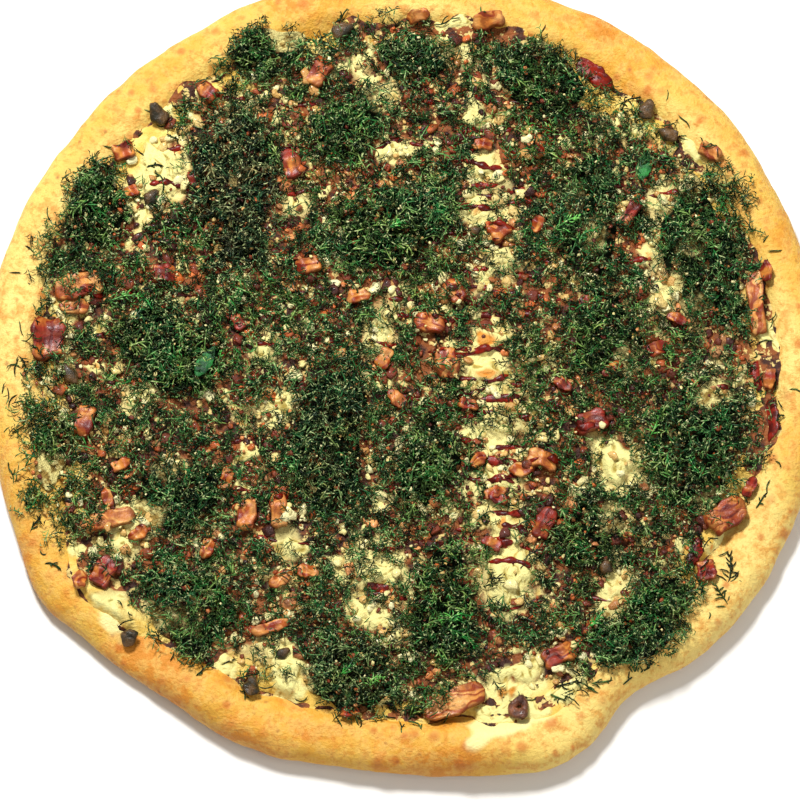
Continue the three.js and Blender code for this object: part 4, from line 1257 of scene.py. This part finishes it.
GENERAL_COVER = 0.85


def clump_share(clump_x, clump_y, angle):
    return 1 + waves(angle, (2, 0.07, clump_x), (3, 0.1, clump_y), (5, 0.08, clump_x + clump_y))


def clump_dome(x, y, clump):
    """How far into a clump a point is: 0 in its middle and 1 at its outline."""
    clump_x, clump_y, long, wide, turn, _ = clump
    along, across = along_across(x, y, clump_x, clump_y, turn)
    around = np.arctan2(across / wide, along / long)
    return np.hypot(along / long, across / wide) / clump_share(clump_x, clump_y, around)


# %% How far out and how thickly the herbs lie
# Directions in which they reach past the edge of the cheese or stop short: middle, half width, millimetres.
FURTHER = [(198, 14, 20), (313, 6, 14), (299, 6, 3), (161, 6, 11), (184, 8, 7), (29, 7, 11)]
SHORTER = [(217, 11, 17), (286, 9, 9), (4, 7, 6)]


def herb_reach(angle):
    return cheese_radius(angle) + bumps(angle, FURTHER) - bumps(angle, SHORTER)


def inside_edge(x, y, width):
    """1 well inside the toppings, falling to 0 over that width at their ragged edge."""
    reach, angle = np.hypot(x, y), np.arctan2(y, x)
    limit = np.minimum(herb_reach(angle), outline_radius(angle) - 3) + 6 * (patchy(x, y, 6, 64) - 0.5)
    return 1 - soft_step(reach, limit - width, limit)


def thinned(cover, x, y, rows, most=None, share=1.0, grow=0.0, climb=0.4):
    """The cover, made thin over the pieces in the rows; without `most`, their sixth value says how thin."""
    for piece_x, piece_y, long, wide, turn, sixth, *_ in rows:
        near = inside_piece(x, y, piece_x, piece_y, long * share, wide * share, turn, grow)
        cover = cover * (1 - (sixth if most is None else most) * soft_step(near, 0, climb))
    return cover


def herb_cover(x, y):
    """How thickly the dill lies: about 1 in a clump, less between, and little over what shows."""
    edge = inside_edge(x, y, 8)
    cover = thinned(GENERAL_COVER * edge, x, y, CLEARINGS)
    cover = thinned(cover, x, y, LUMPS + SMALL_LUMPS, 0.85, grow=1)
    cover = thinned(cover, x, y, BACON, 0.85, share=0.55, grow=1)
    tufts = soft_step(patchy(x, y, 5, 61) + 0.6 * patchy(x, y, 17, 62), 0.35, 1.1)
    cover = cover * (0.25 + 1.1 * tufts)
    for clump in DILL:
        inside = 1 - soft_step(clump_dome(x, y, clump) + 0.6 * (patchy(x, y, 6, 63) - 0.5), 0.7, 1.3)
        cover = np.maximum(cover, 1.25 * inside * np.maximum(edge, clump_dome(x, y, clump) < 1.05))
    cover = thinned(cover, x, y, BACON, 0.7, share=0.5, grow=1)
    cover = np.maximum(cover, 1.2 * spot_share(x, y, TUFTS) * edge)
    return cover * (1 - 0.92 * spot_share(x, y, OPENINGS))


def herb_depth(x, y):
    depth = np.zeros(x.shape)
    for clump in DILL:
        share = clump_dome(x, y, clump)
        depth = np.maximum(depth, clump[5] * np.interp(share, [0, 0.5, 0.85, 1.1], [1, 0.88, 0.45, 0]))
    return np.maximum(depth, 1.6 * spot_share(x, y, TUFTS))


# %% [markdown]
# ## Crumbs of bacon
#
# Between the larger slices lie many crumbs, browned right through.  Six small slabs are the shapes, and
# the scatter tree lays them between the slices and beside the cream lumps.

# %% Shapes of crumbs
CRUMB_COLUMNS = 8


def crumb_shapes(name, seed, length, thick, squareness, profile=CHIP_PROFILE, columns=CRUMB_COLUMNS):
    """Six small slabs."""
    pieces = []
    for i in range(6):
        dice = np.random.default_rng(seed + i)
        long = dice.uniform(*length)
        wide = long * dice.uniform(0.5, 0.9)
        points, shape = slab_points(long, wide, thick, profile, columns, seed + i + 100, squareness, 0.2)
        heap = Heap()
        heap.add(points + ORIGIN, shape)
        pieces.append(heap.make(f"{name}_{i}"))
    return shape_collection(name + " shapes", pieces)


def no_depth(x, y):
    return 0 * x


def crumb_edge(x, y):
    edge = thinned(inside_edge(x * 1.04, y * 1.04, 5), x, y, BACON, 1, share=0.5, grow=1, climb=0.3)
    return thinned(edge, x, y, LUMPS, 0.9, grow=2, climb=0.3)


def bacon_crumb_cover(x, y):
    return crumb_edge(x, y) * soft_step(patchy(x, y, 11, 71), 0.25, 0.75) * (1 - 0.9 * cream_share(x, y))


def cheese_crumb_cover(x, y):
    spots = soft_step(1 - patchy(x, y, 11, 71) + 0.4 * (patchy(x, y, 5, 72) - 0.5), 0.35, 0.8)
    return crumb_edge(x, y) * np.maximum(spots, 0.8 * cream_share(x, y))


def paint_crumbs(paint):
    colour = paint.ramp(
        paint.number("tone"), (0, (40, 14, 8)), (0.3, (92, 32, 14)), (0.55, (138, 62, 22)),
        (0.8, (184, 94, 36)), (1, (212, 150, 90)),
    )
    colour = paint.lay_on(colour, (paint.patches(0.002, 3.0, 0.4, 0.7), 0.5, (110, 44, 20)))
    return paint.shade(colour, (0.007, 2.0, 0.38, 0.62), 0.5, 1.4)


CRUMB_FINISH = make_finish("bacon crumbs", paint_crumbs, 0.5, 0.001, 0.0003, coat=0.1, specular=0.35)
lay(
    "bacon_crumbs", "bacon", CRUMB_FINISH, crumb_shapes("bacon_crumb", 100, (2.8, 5.6), 1.8, 4.5),
    bacon_crumb_cover, no_depth, 140, above=0.3, Density=52000.0, Smallest=0.45, Largest=1.2, Lean=0.5,
    Lift=0.0004, Seed=3,
)

# %% [markdown]
# The cheese was crumbled over the pizza, so small cream crumbs lie everywhere between the bacon.  They
# are rounder than the bacon's, and their tone runs from cream to a browned tan.

# %% Crumbs of cheese


def paint_cheese_crumbs(paint):
    stops = (0, (232, 224, 168)), (0.5, (222, 206, 130)), (0.8, (204, 160, 84)), (1, (160, 92, 40))
    return paint.ramp(paint.number("tone"), *stops)


CHEESE_CRUMB_FINISH = make_finish("cheese crumbs", paint_cheese_crumbs, 0.4, 0.0015, 0.0004, coat=0.2)
lay(
    "cheese_crumbs", "cheese", CHEESE_CRUMB_FINISH, crumb_shapes("cheese_crumb", 150, (3.0, 6.5), 1.5, 2.6),
    cheese_crumb_cover, no_depth, 141, Density=60000.0, Smallest=0.35, Largest=1.2, Lean=0.45, Lift=0.0006,
    Seed=5,
)

# %% [markdown]
# Finer specks of both kinds were tossed up with the herbs and lie in among the dill, also on the clumps.

# %% Specks among the dill
SPECK_PROFILE = [(1, -0.4), (0.8, 0.8)]
SPECK_COLUMNS = 5


def speck_cover(seed):
    def cover(x, y):
        spots = soft_step(patchy(x, y, 7, seed), 0.3, 0.75)
        return crumb_edge(x, y) * (1 - 0.85 * cream_share(x, y)) * (0.2 + 1.1 * spots)

    return cover


SPECK_KINDS = [
    # name, slot, finish, specks per square metre, largest, seed
    ("bacon_specks", "bacon", CRUMB_FINISH, 60000.0, 1.15, 92),
    ("cheese_specks", "cheese", CHEESE_CRUMB_FINISH, 52000.0, 0.75, 93),
]
for name, slot, finish, density, largest, seed in SPECK_KINDS:
    shapes = crumb_shapes(name, seed, (1.3, 3.2), 0.9, 4.0, SPECK_PROFILE, SPECK_COLUMNS)
    lay(
        name, slot, finish, shapes, speck_cover(seed), herb_depth, 150, Density=density, Smallest=0.35,
        Largest=largest, Lean=0.7, Lift=0.0008, Depth_share=0.62, Seed=seed,
    )

# %% [markdown]
# ## The sauce
#
# A thick dark sauce was squeezed out in lines from side to side, about 2 cm apart, before the herbs went
# on.  Each line is a bead that swells, thins and breaks off, and lies over whatever it crosses.

# %% Lines of sauce: height up the pizza in millimetres, from x, to x, thickness
SAUCE_LINES = [
    (107, -75, 70, 0.9), (89, -95, 60, 1.0), (72, -100, 110, 1.0), (55, -120, 48, 0.9), (43, 45, 128, 1.2),
    (31, -125, 60, 1.0), (22, -30, 60, 1.1), (10, -120, 55, 0.9), (-8, -30, 125, 1.0), (-14, 0, 60, 1.1),
    (-27, -110, 0, 1.1), (-36, 20, 60, 1.2), (-49, -115, 70, 1.0), (-69, -100, 60, 0.9),
    (-92, -40, 95, 0.8),
]
SQUEEZED_AGAIN = (97, 82, 66, 49, 37, 26, 5, -3, -20, -31, -43, -57, -64, -75)
SAUCE_LINES += [(height, 19, 50, 1.15) for height in SQUEEZED_AGAIN]
SAUCE_RADIUS = 1.15
DASH_LENGTH, GAP_LENGTH = (7, 24), (1, 9)
POOL_THICKNESS, POOL_COLUMNS = 1.6, 28
# Pools: middle, half length, half width, turn.
SAUCE_POOLS = [
    (73, 119, 8, 4.0, -40), (36, -36, 7, 2.0, -6), (38, -42, 5, 1.8, 10), (36, -68, 6, 2.0, -5),
    (134, -2, 7, 2.0, 95), (139, -20, 9, 3.0, 86), (110, -72, 7, 2.6, 75), (-10, -86, 5, 1.8, -8),
    (33, 22, 7, 1.5, -3), (36, -11, 8, 1.6, 5), (34, 50, 6, 1.4, 0), (30, 74, 6, 1.4, 4),
    (28, 93, 6, 1.4, 0), (-118, 66, 3, 1.5, 20), (52, -28, 4, 1.5, 0), (68, -24, 5, 1.7, 15),
    (-60, 92, 4, 1.4, 20),
]


def bead(points, radii, sides=8):
    """A flattened tube along points, each with its own radius."""
    forward = np.gradient(points, axis=0)
    forward[:, 2] = 0
    forward /= np.linalg.norm(forward, axis=1)[:, None]
    sideways = np.stack([-forward[:, 1], forward[:, 0], 0 * forward[:, 0]], -1)
    around = np.arange(sides) * 2 * math.pi / sides
    rings = points[:, None] + radii[:, None, None] * (
        np.cos(around)[None, :, None] * sideways[:, None] + 0.62 * np.sin(around)[None, :, None] * [0, 0, 1]
    )
    return closed(rings, rings[0].mean(0), rings[-1].mean(0))


sauce_heap = Heap()
dice = np.random.default_rng(21)
for line_y, start_x, end_x, thick in SAUCE_LINES:
    x = start_x
    while x < end_x:
        length = dice.uniform(*DASH_LENGTH)
        steps = max(6, int(length / 0.8))
        along = np.linspace(x, min(x + length, end_x), steps)
        wander = 2.2 * np.sin(along / 13 + line_y) + 0.9 * np.sin(along / 3.1 + 2 * line_y)
        across = line_y + wander + dice.uniform(-1, 1)
        share = np.linspace(0, 1, steps)
        radii = SAUCE_RADIUS * thick * np.sqrt(np.clip(np.sin(math.pi * share), 0.02, 1))
        radii = radii * (1 + 0.35 * np.sin(along * dice.uniform(0.7, 1.4) + dice.uniform(0, 6)))
        height = laid_height(along, across)
        height = np.convolve(np.pad(height, 2, mode="edge"), np.ones(5) / 5, mode="valid")
        sauce_heap.add(*bead(np.stack([along, across, height + 0.1], -1), radii))
        x += length + dice.uniform(*GAP_LENGTH)
for x, y, long, wide, turn in SAUCE_POOLS:
    seed = int(abs(x * y)) % 97
    points, shape = slab_points(
        2 * long, 2 * wide, POOL_THICKNESS, DROP_PROFILE, POOL_COLUMNS, seed, squareness=2.2, ragged=0.16
    )
    points = turned(points, turn, x, y)
    points[:, 2] += laid_height(points[:, 0], points[:, 1]) + 0.2
    sauce_heap.add(points, shape)
sauce = sauce_heap.make("sauce_drizzle")
SAUCE_RED = paint_patchy(0.004, 0.35, 0.7, (66, 10, 4), (136, 28, 10), detail=2.0)
sauce.data.materials.append(make_finish("dark sauce", SAUCE_RED, 0.34, 0.003, 0.00015, specular=0.25))
declare(sauce, "sauce")

# %% [markdown]
# ## The dill
#
# Dill is a feathery herb: a thin stem with finer and finer threads.  Chopped, it falls in short sprigs
# that hook into each other.  A sprig here is one stem with five or seven side threads, all three-sided,
# since thousands are needed.  Ten short sprigs and eight long ones are made by chance.

# %% One thread
STEM_RADIUS = 0.3
THREAD_SIDES = 3


def thread(points, radius):
    """A three-sided thread along the points: a ring at each inner point, and a tip at both ends."""
    forward = np.gradient(points, axis=0)
    forward /= np.linalg.norm(forward, axis=1)[:, None]
    sideways = np.cross(forward, [0.13, 0.21, 1.0])
    sideways /= np.linalg.norm(sideways, axis=1)[:, None]
    upwards = np.cross(sideways, forward)
    around = np.arange(THREAD_SIDES) * 2 * math.pi / THREAD_SIDES
    spokes = np.cos(around)[None, :, None] * sideways[:, None]
    spokes = spokes + np.sin(around)[None, :, None] * upwards[:, None]
    return closed(points[1:-1, None] + radius * spokes[1:-1], points[0], points[-1])


def curl(start, heading, rise, length, bend, points, dice):
    """Points of a curl: from start, along a heading that bends, rising or falling."""
    path, here, step = [np.array(start, float)], np.array(start, float), length / (points - 1)
    for _ in range(points - 1):
        here = here + step * np.array([math.cos(heading), math.sin(heading), rise])
        heading += bend / (points - 1) + dice.normal(0, 0.12)
        rise -= dice.uniform(0.05, 0.3)
        path.append(here)
    return np.array(path)


# %% One sprig


def sprig(name, seed, length, threads, thread_points, stem_points=4):
    """A stem with threads to both sides in turn, shorter towards its tip, like a small feather."""
    dice = np.random.default_rng(seed)
    heading, bend = dice.uniform(-0.3, 0.3), dice.normal(0, 1.2)
    stem = curl((-length / 2, 0, 0), heading, 0.35, length, bend, stem_points, dice)
    stem[:, :2] -= stem[:, :2].mean(0)
    made = [thread(stem, STEM_RADIUS)]
    for i in range(threads):
        share = (i + dice.uniform(0.2, 0.9)) / threads
        place = share * (stem_points - 1)
        at = min(int(place), stem_points - 2)
        start = stem[at] + (stem[at + 1] - stem[at]) * (place - at)
        ahead = math.atan2(*(stem[at + 1] - stem[at])[[1, 0]])
        side = (1 if i % 2 else -1) * dice.uniform(0.5, 1.2)
        reach = length * dice.uniform(0.3, 0.62) * (1 - 0.35 * share)
        rise, bend = dice.uniform(-0.2, 0.8), dice.normal(0, 2.2)
        path = curl(start, ahead + side, rise, reach, bend, thread_points, dice)
        made.append(thread(path, STEM_RADIUS * 0.9))
    heap = Heap()
    for points, shape in made:
        heap.add(points + ORIGIN, shape)
    return heap.make(name)


# %% Finish of the dill


def paint_dill(low, middle, high, glint_colour):
    def painted(paint):
        fresh = paint.ramp(paint.number("tone"), (0, low), (0.55, middle), (1, high))
        colour = paint.blend(paint.patches(0.03, 2.0, 0.4, 0.62), fresh, paint.tint(fresh, 1.5, 1.15, 0.9))
        # Painted light and shade: the colour goes darker and lighter in patches of about 6 mm.
        colour = paint.shade(colour, (0.006, 3.0, 0.36, 0.64), 0.45, 1.45)
        colour = paint.blend(paint.number("faded"), colour, paint.tint(colour, 1.1, 0.6, 1.0))
        # Painted shade: small dark patches stand for the dark gaps between the threads.
        gap_shade = paint.patches(0.0026, 2.0, 0.4, 0.54)
        colour = paint.blend(gap_shade, paint.tint(colour, 0.22, 0.25, 0.2), colour)
        # Painted highlights: small glints laid on in the glint colour.
        return paint.lay_on(colour, (paint.patches(0.0014, 1.0, 0.58, 0.64), 0.7, glint_colour))

    return painted


def paint_core(paint):
    """Dill deep in a clump, painted near black as its shade, with crumbs of what lies under it showing
    through, and cheese where the clump is open.
    """
    brown = paint.blend(paint.patches(0.004, 3.0, 0.54, 0.6), (14, 22, 10), (96, 60, 32))
    shaded = paint.blend(paint.patches(0.0055, 3.0, 0.6, 0.64), brown, (170, 150, 94))
    bare = paint.blend(paint.patches(0.004, 3.0, 0.4, 0.55), (150, 122, 62), (226, 212, 138))
    return paint.blend(paint.number("opened"), shaded, bare)


CORE_DILL = make_finish("dill in the dark", paint_core, 0.9, 0.0015, 0.001, specular=0.05)
DILL_KINDS = [
    # name, roughness, gloss, then the colours of old, common and young sprigs, and of their glints
    # The first kind is a darker copy of the dill for the lower layers: a painted shade under the sprigs
    # above.
    ("dill in shade", 0.5, 0.15, (12, 24, 8), (24, 60, 26), (64, 98, 48), (100, 122, 66)),
    ("dill", 0.42, 0.25, (14, 44, 18), (34, 104, 48), (110, 146, 80), (190, 202, 138)),
    ("fresh dill", 0.4, 0.3, (16, 84, 34), (36, 128, 52), (96, 170, 80), (170, 214, 130)),
]
DARK_DILL, GREEN_DILL, BRIGHT_DILL = (
    make_finish(name, paint_dill(*colours), roughness, 0.002, 0.0001, specular=gloss)
    for name, roughness, gloss, *colours in DILL_KINDS
)

# %% Cores of the clumps


# A core is the dense inside of a clump; its finish paints it near black, a painted shade.
def clump_core(heap, clump, rings=14, columns=72):
    clump_x, clump_y, long, wide, turn, tall = clump
    around = np.arange(columns) * 2 * math.pi / columns
    climb = np.linspace(0.12, 1.5, rings)
    profile = np.array([(0.5, 0), (0.94, 0)] + [(0.96 * math.cos(a) ** 0.8, math.sin(a)) for a in climb])
    shares = profile[:, 0, None] * clump_share(clump_x, clump_y, around)
    x, y = shares * long * np.cos(around), shares * wide * np.sin(around)
    dice = np.random.default_rng(int(abs(clump_x * 7 + clump_y)))
    rough = dice.uniform(-0.45, 0.45, x.shape)
    height = CLEARANCE + profile[:, 1, None] * (0.5 * tall - CLEARANCE + rough)
    points, shape = closed(np.stack([0.9 * x, 0.9 * y, height], -1), (0, 0, CLEARANCE), (0, 0, 0.5 * tall))
    placed = settle(points, turn, clump_x, clump_y)
    heap.add(placed, shape, opened=spot_share(placed[:, 0], placed[:, 1], OPENINGS))


core_heap = Heap()
for clump in DILL:
    clump_core(core_heap, clump)
cores = core_heap.make("dill_cores")
cores.data.materials.append(CORE_DILL)
declare(cores, "dill", *numbered("dill", DILL))

# %% Scattering the sprigs
short_sprigs = shape_collection(
    "short sprigs", [sprig(f"sprig_{i}", 300 + i, 4.4 + 0.3 * i, 7, 3) for i in range(10)]
)
long_sprigs = shape_collection(
    "long sprigs", [sprig(f"long_sprig_{i}", 340 + i, 7.4 + 0.4 * i, 5, 4, stem_points=5) for i in range(8)]
)
LAYERS = [
    # name, sprigs, finish, sprigs per square metre, smallest, largest, lean, lift, seed, share of the depth
    ("dill_under", short_sprigs, DARK_DILL, 44000.0, 0.8, 1.25, 0.35, 0.0008, 31, 0.4),
    ("dill_middle", short_sprigs, DARK_DILL, 64000.0, 0.75, 1.2, 0.45, 0.0012, 32, 0.5),
    ("dill_over", short_sprigs, GREEN_DILL, 64000.0, 0.7, 1.15, 0.55, 0.0018, 33, 0.6),
    ("dill_top", long_sprigs, GREEN_DILL, 42000.0, 0.7, 1.1, 0.4, 0.0022, 34, 0.72),
]
for name, sprigs, finish, density, smallest, largest, lean, lift, seed, depth_share in LAYERS:
    lay(
        name, "dill", finish, sprigs, herb_cover, herb_depth, 160, Density=density, Smallest=smallest,
        Largest=largest, Lean=lean, Lift=lift, Depth_share=depth_share, Seed=seed,
    )
drop_shapes()

# %% [markdown]
# A few fresher fronds lie on top, a clear bright green, and some strays lie out on the cheese and the
# crust.  They are listed one by one: each is one feather whose every point lies on what is below it.

# %% Fronds and strays
# Middle, turn, length, number of threads.
BRIGHT_FRONDS = [
    (-108, 29, 20, 15, 16), (-102, 22, 60, 13, 14), (-98, 27, 110, 11, 12), (61, 58, 40, 14, 16),
    (66, 53, 100, 12, 14), (57, 52, 160, 12, 12), (60, 63, 80, 9, 10), (14, -98, 150, 14, 16),
    (22, -103, 10, 15, 16), (19, -97, 60, 12, 14), (-20, -119, 30, 13, 14), (-15, -123, 120, 10, 12),
    (53, 97, 150, 11, 12), (48, 101, 80, 9, 10), (-46, -37, 15, 12, 14), (-41, -41, 100, 9, 10),
    (13, 65, 140, 11, 12), (-3, 56, 20, 10, 12), (96, -24, 50, 10, 12), (110, -40, 120, 11, 12),
    (-70, 2, 70, 10, 12), (73, -100, 30, 11, 12), (88, -92, 140, 10, 12),
]
STRAYS = [
    (-91, 75, 60, 10, 5), (-96, 82, 20, 7, 3), (124, -80, 70, 16, 14), (121, -90, 110, 13, 10),
    (129, -84, 30, 11, 8), (-148, -42, 80, 10, 5), (-145, -52, 120, 9, 4), (-141, -62, 70, 9, 4),
    (-133, -76, 20, 8, 3), (85, 110, 60, 10, 6), (-76, -119, 40, 8, 3), (-61, -127, 100, 8, 3),
    (2, -134, 80, 9, 4), (5, -139, 110, 7, 2), (61, -124, 10, 10, 4), (68, -126, 160, 11, 5),
    (74, -123, 20, 9, 4), (58, -129, 140, 7, 3), (86, -121, 60, 12, 7), (90, -124, 100, 12, 6),
    (95, -120, 80, 11, 6), (-24, 141, 30, 8, 3), (135, -52, 60, 8, 3), (140, -20, 110, 7, 3),
]
SINGLE_THREADS = 150
FROND_LIFT, STRAY_LIFT, THREAD_LIFT = 1.6, 0.4, 0.25


def laid_path(x, y, turn, length, bend, steps, lift, dice):
    """A bending path from a place, lying on what is below it."""
    heading, path = math.radians(turn), []
    for _ in range(steps):
        path.append((x, y))
        x, y = x + length / (steps - 1) * math.cos(heading), y + length / (steps - 1) * math.sin(heading)
        heading += bend / (steps - 1) + dice.normal(0, 0.15)
    path = np.array(path)
    angle = np.arctan2(path[:, 1], path[:, 0])
    path *= np.minimum(1, (outline_radius(angle) - 4) / np.hypot(path[:, 0], path[:, 1]))[:, None]
    path += np.linspace(0, 0.05, steps)[:, None]
    share = np.linspace(0, 1, steps)
    depth = herb_depth(path[:, 0], path[:, 1]) * 0.95
    arch = (0.5 * lift + 0.1) * np.sin(math.pi * share)
    height = laid_height(path[:, 0], path[:, 1]) + depth + lift + arch
    return np.column_stack([path, height])


def add_frond(heap, x, y, turn, length, threads, lift, dice):
    tone = dice.uniform()
    a = math.radians(turn)
    start_x, start_y = x - length / 2 * math.cos(a), y - length / 2 * math.sin(a)
    stem = laid_path(start_x, start_y, turn, length, dice.normal(0, 0.9), 8, lift, dice)
    heap.add(*thread(stem, STEM_RADIUS * 1.25), tone=tone)
    for i in range(threads):
        at = 1 + int((i + dice.uniform()) / threads * 6)
        ahead = math.degrees(math.atan2(*(stem[at + 1] - stem[at])[[1, 0]]))
        side = (1 if i % 2 else -1) * dice.uniform(25, 65)
        reach = length * dice.uniform(0.25, 0.45) * (1.15 - at / 8)
        path = laid_path(stem[at, 0], stem[at, 1], ahead + side, reach, dice.normal(0, 1.0), 5, lift, dice)
        heap.add(*thread(path, STEM_RADIUS), tone=tone)


bright_heap, stray_heap = Heap(), Heap()
dice = np.random.default_rng(51)
for frond in BRIGHT_FRONDS:
    add_frond(bright_heap, *frond, FROND_LIFT, dice)
for stray in STRAYS:
    add_frond(stray_heap, *stray, STRAY_LIFT, dice)
for _ in range(SINGLE_THREADS):
    angle = dice.uniform(0, 2 * math.pi)
    reach = float(herb_reach(angle)) - 5 + 11 * dice.uniform() ** 2.2
    reach = min(reach, float(outline_radius(angle)) - 7)
    path = laid_path(
        reach * math.cos(angle), reach * math.sin(angle), dice.uniform(0, 360), dice.uniform(2.5, 8),
        dice.normal(0, 1.4), 6, THREAD_LIFT, dice,
    )
    stray_heap.add(*thread(path, STEM_RADIUS), tone=dice.uniform())
FROND_KINDS = ((bright_heap, "dill_fresh", BRIGHT_DILL), (stray_heap, "dill_strays", DARK_DILL))
for heap, name, finish in FROND_KINDS:
    fronds = heap.make(name)
    fronds.data.materials.append(finish)
    declare(fronds, "dill")

# %% [markdown]
# ## Stage, light and camera
#
# The floor is plain and pale.  One soft light stands behind and above the pizza, and a larger, weaker one
# fills from the front, so that the herbs keep their dark gaps.  The camera looks down steeply from the
# front, with a long lens.

# %% Floor
bpy.ops.mesh.primitive_plane_add(size=6, location=(0, 0, -0.0005))
floor = bpy.context.object
floor.name = "floor"
floor_finish = bpy.data.materials.new("pale floor")
floor_finish.use_nodes = True
floor_shader = floor_finish.node_tree.nodes["Principled BSDF"].inputs
floor_shader["Base Color"].default_value = screen(232, 230, 226)
floor_shader["Roughness"].default_value = 0.8
floor.data.materials.append(floor_finish)

# %% Lights


def soft_light(name, place, aim, size, power):
    lamp = bpy.data.lights.new(name, "AREA")
    lamp.size, lamp.energy = size, power
    holder = bpy.data.objects.new(name, lamp)
    holder.location = place
    holder.rotation_euler = (Vector(aim) - Vector(place)).to_track_quat("-Z", "Y").to_euler()
    bpy.context.scene.collection.objects.link(holder)


soft_light("key", (-0.35, 0.75, 1.25), (0, 0, 0), 0.3, 34)
soft_light("fill", (0.9, -0.7, 0.9), (0, 0, 0), 1.2, 7)
world = bpy.data.worlds.new("studio")
world.use_nodes = True
daylight = world.node_tree.nodes["Background"].inputs
daylight["Color"].default_value = (1, 0.95, 0.86, 1)
daylight["Strength"].default_value = 0.34
bpy.context.scene.world = world
bpy.context.scene.view_settings.view_transform = "Standard"

# %% Camera
PICTURE_PIXELS = 800
MIDDLE_PIXEL = (405, 370)
MM_PER_PIXEL = 0.381
ELEVATION = math.radians(73.7)
LENS, SENSOR = 400.0, 36.0
TABLE_HEIGHT = 10.0
aim_x = (PICTURE_PIXELS / 2 - MIDDLE_PIXEL[0]) * MM_PER_PIXEL
aim_y = (MIDDLE_PIXEL[1] - PICTURE_PIXELS / 2) * MM_PER_PIXEL / math.sin(ELEVATION)
aim = Vector(((np.array([aim_x, aim_y, TABLE_HEIGHT]) - ORIGIN) * MM).tolist())
distance = PICTURE_PIXELS * MM_PER_PIXEL * MM * LENS / SENSOR
camera_data = bpy.data.cameras.new("camera")
camera_data.lens, camera_data.sensor_width = LENS, SENSOR
camera = bpy.data.objects.new("camera", camera_data)
camera.location = aim + distance * Vector((0, -math.cos(ELEVATION), math.sin(ELEVATION)))
camera.rotation_euler = (aim - camera.location).to_track_quat("-Z", "Y").to_euler()
bpy.context.scene.collection.objects.link(camera)
bpy.context.scene.camera = camera
print("camera distance, m:", round(distance, 3))
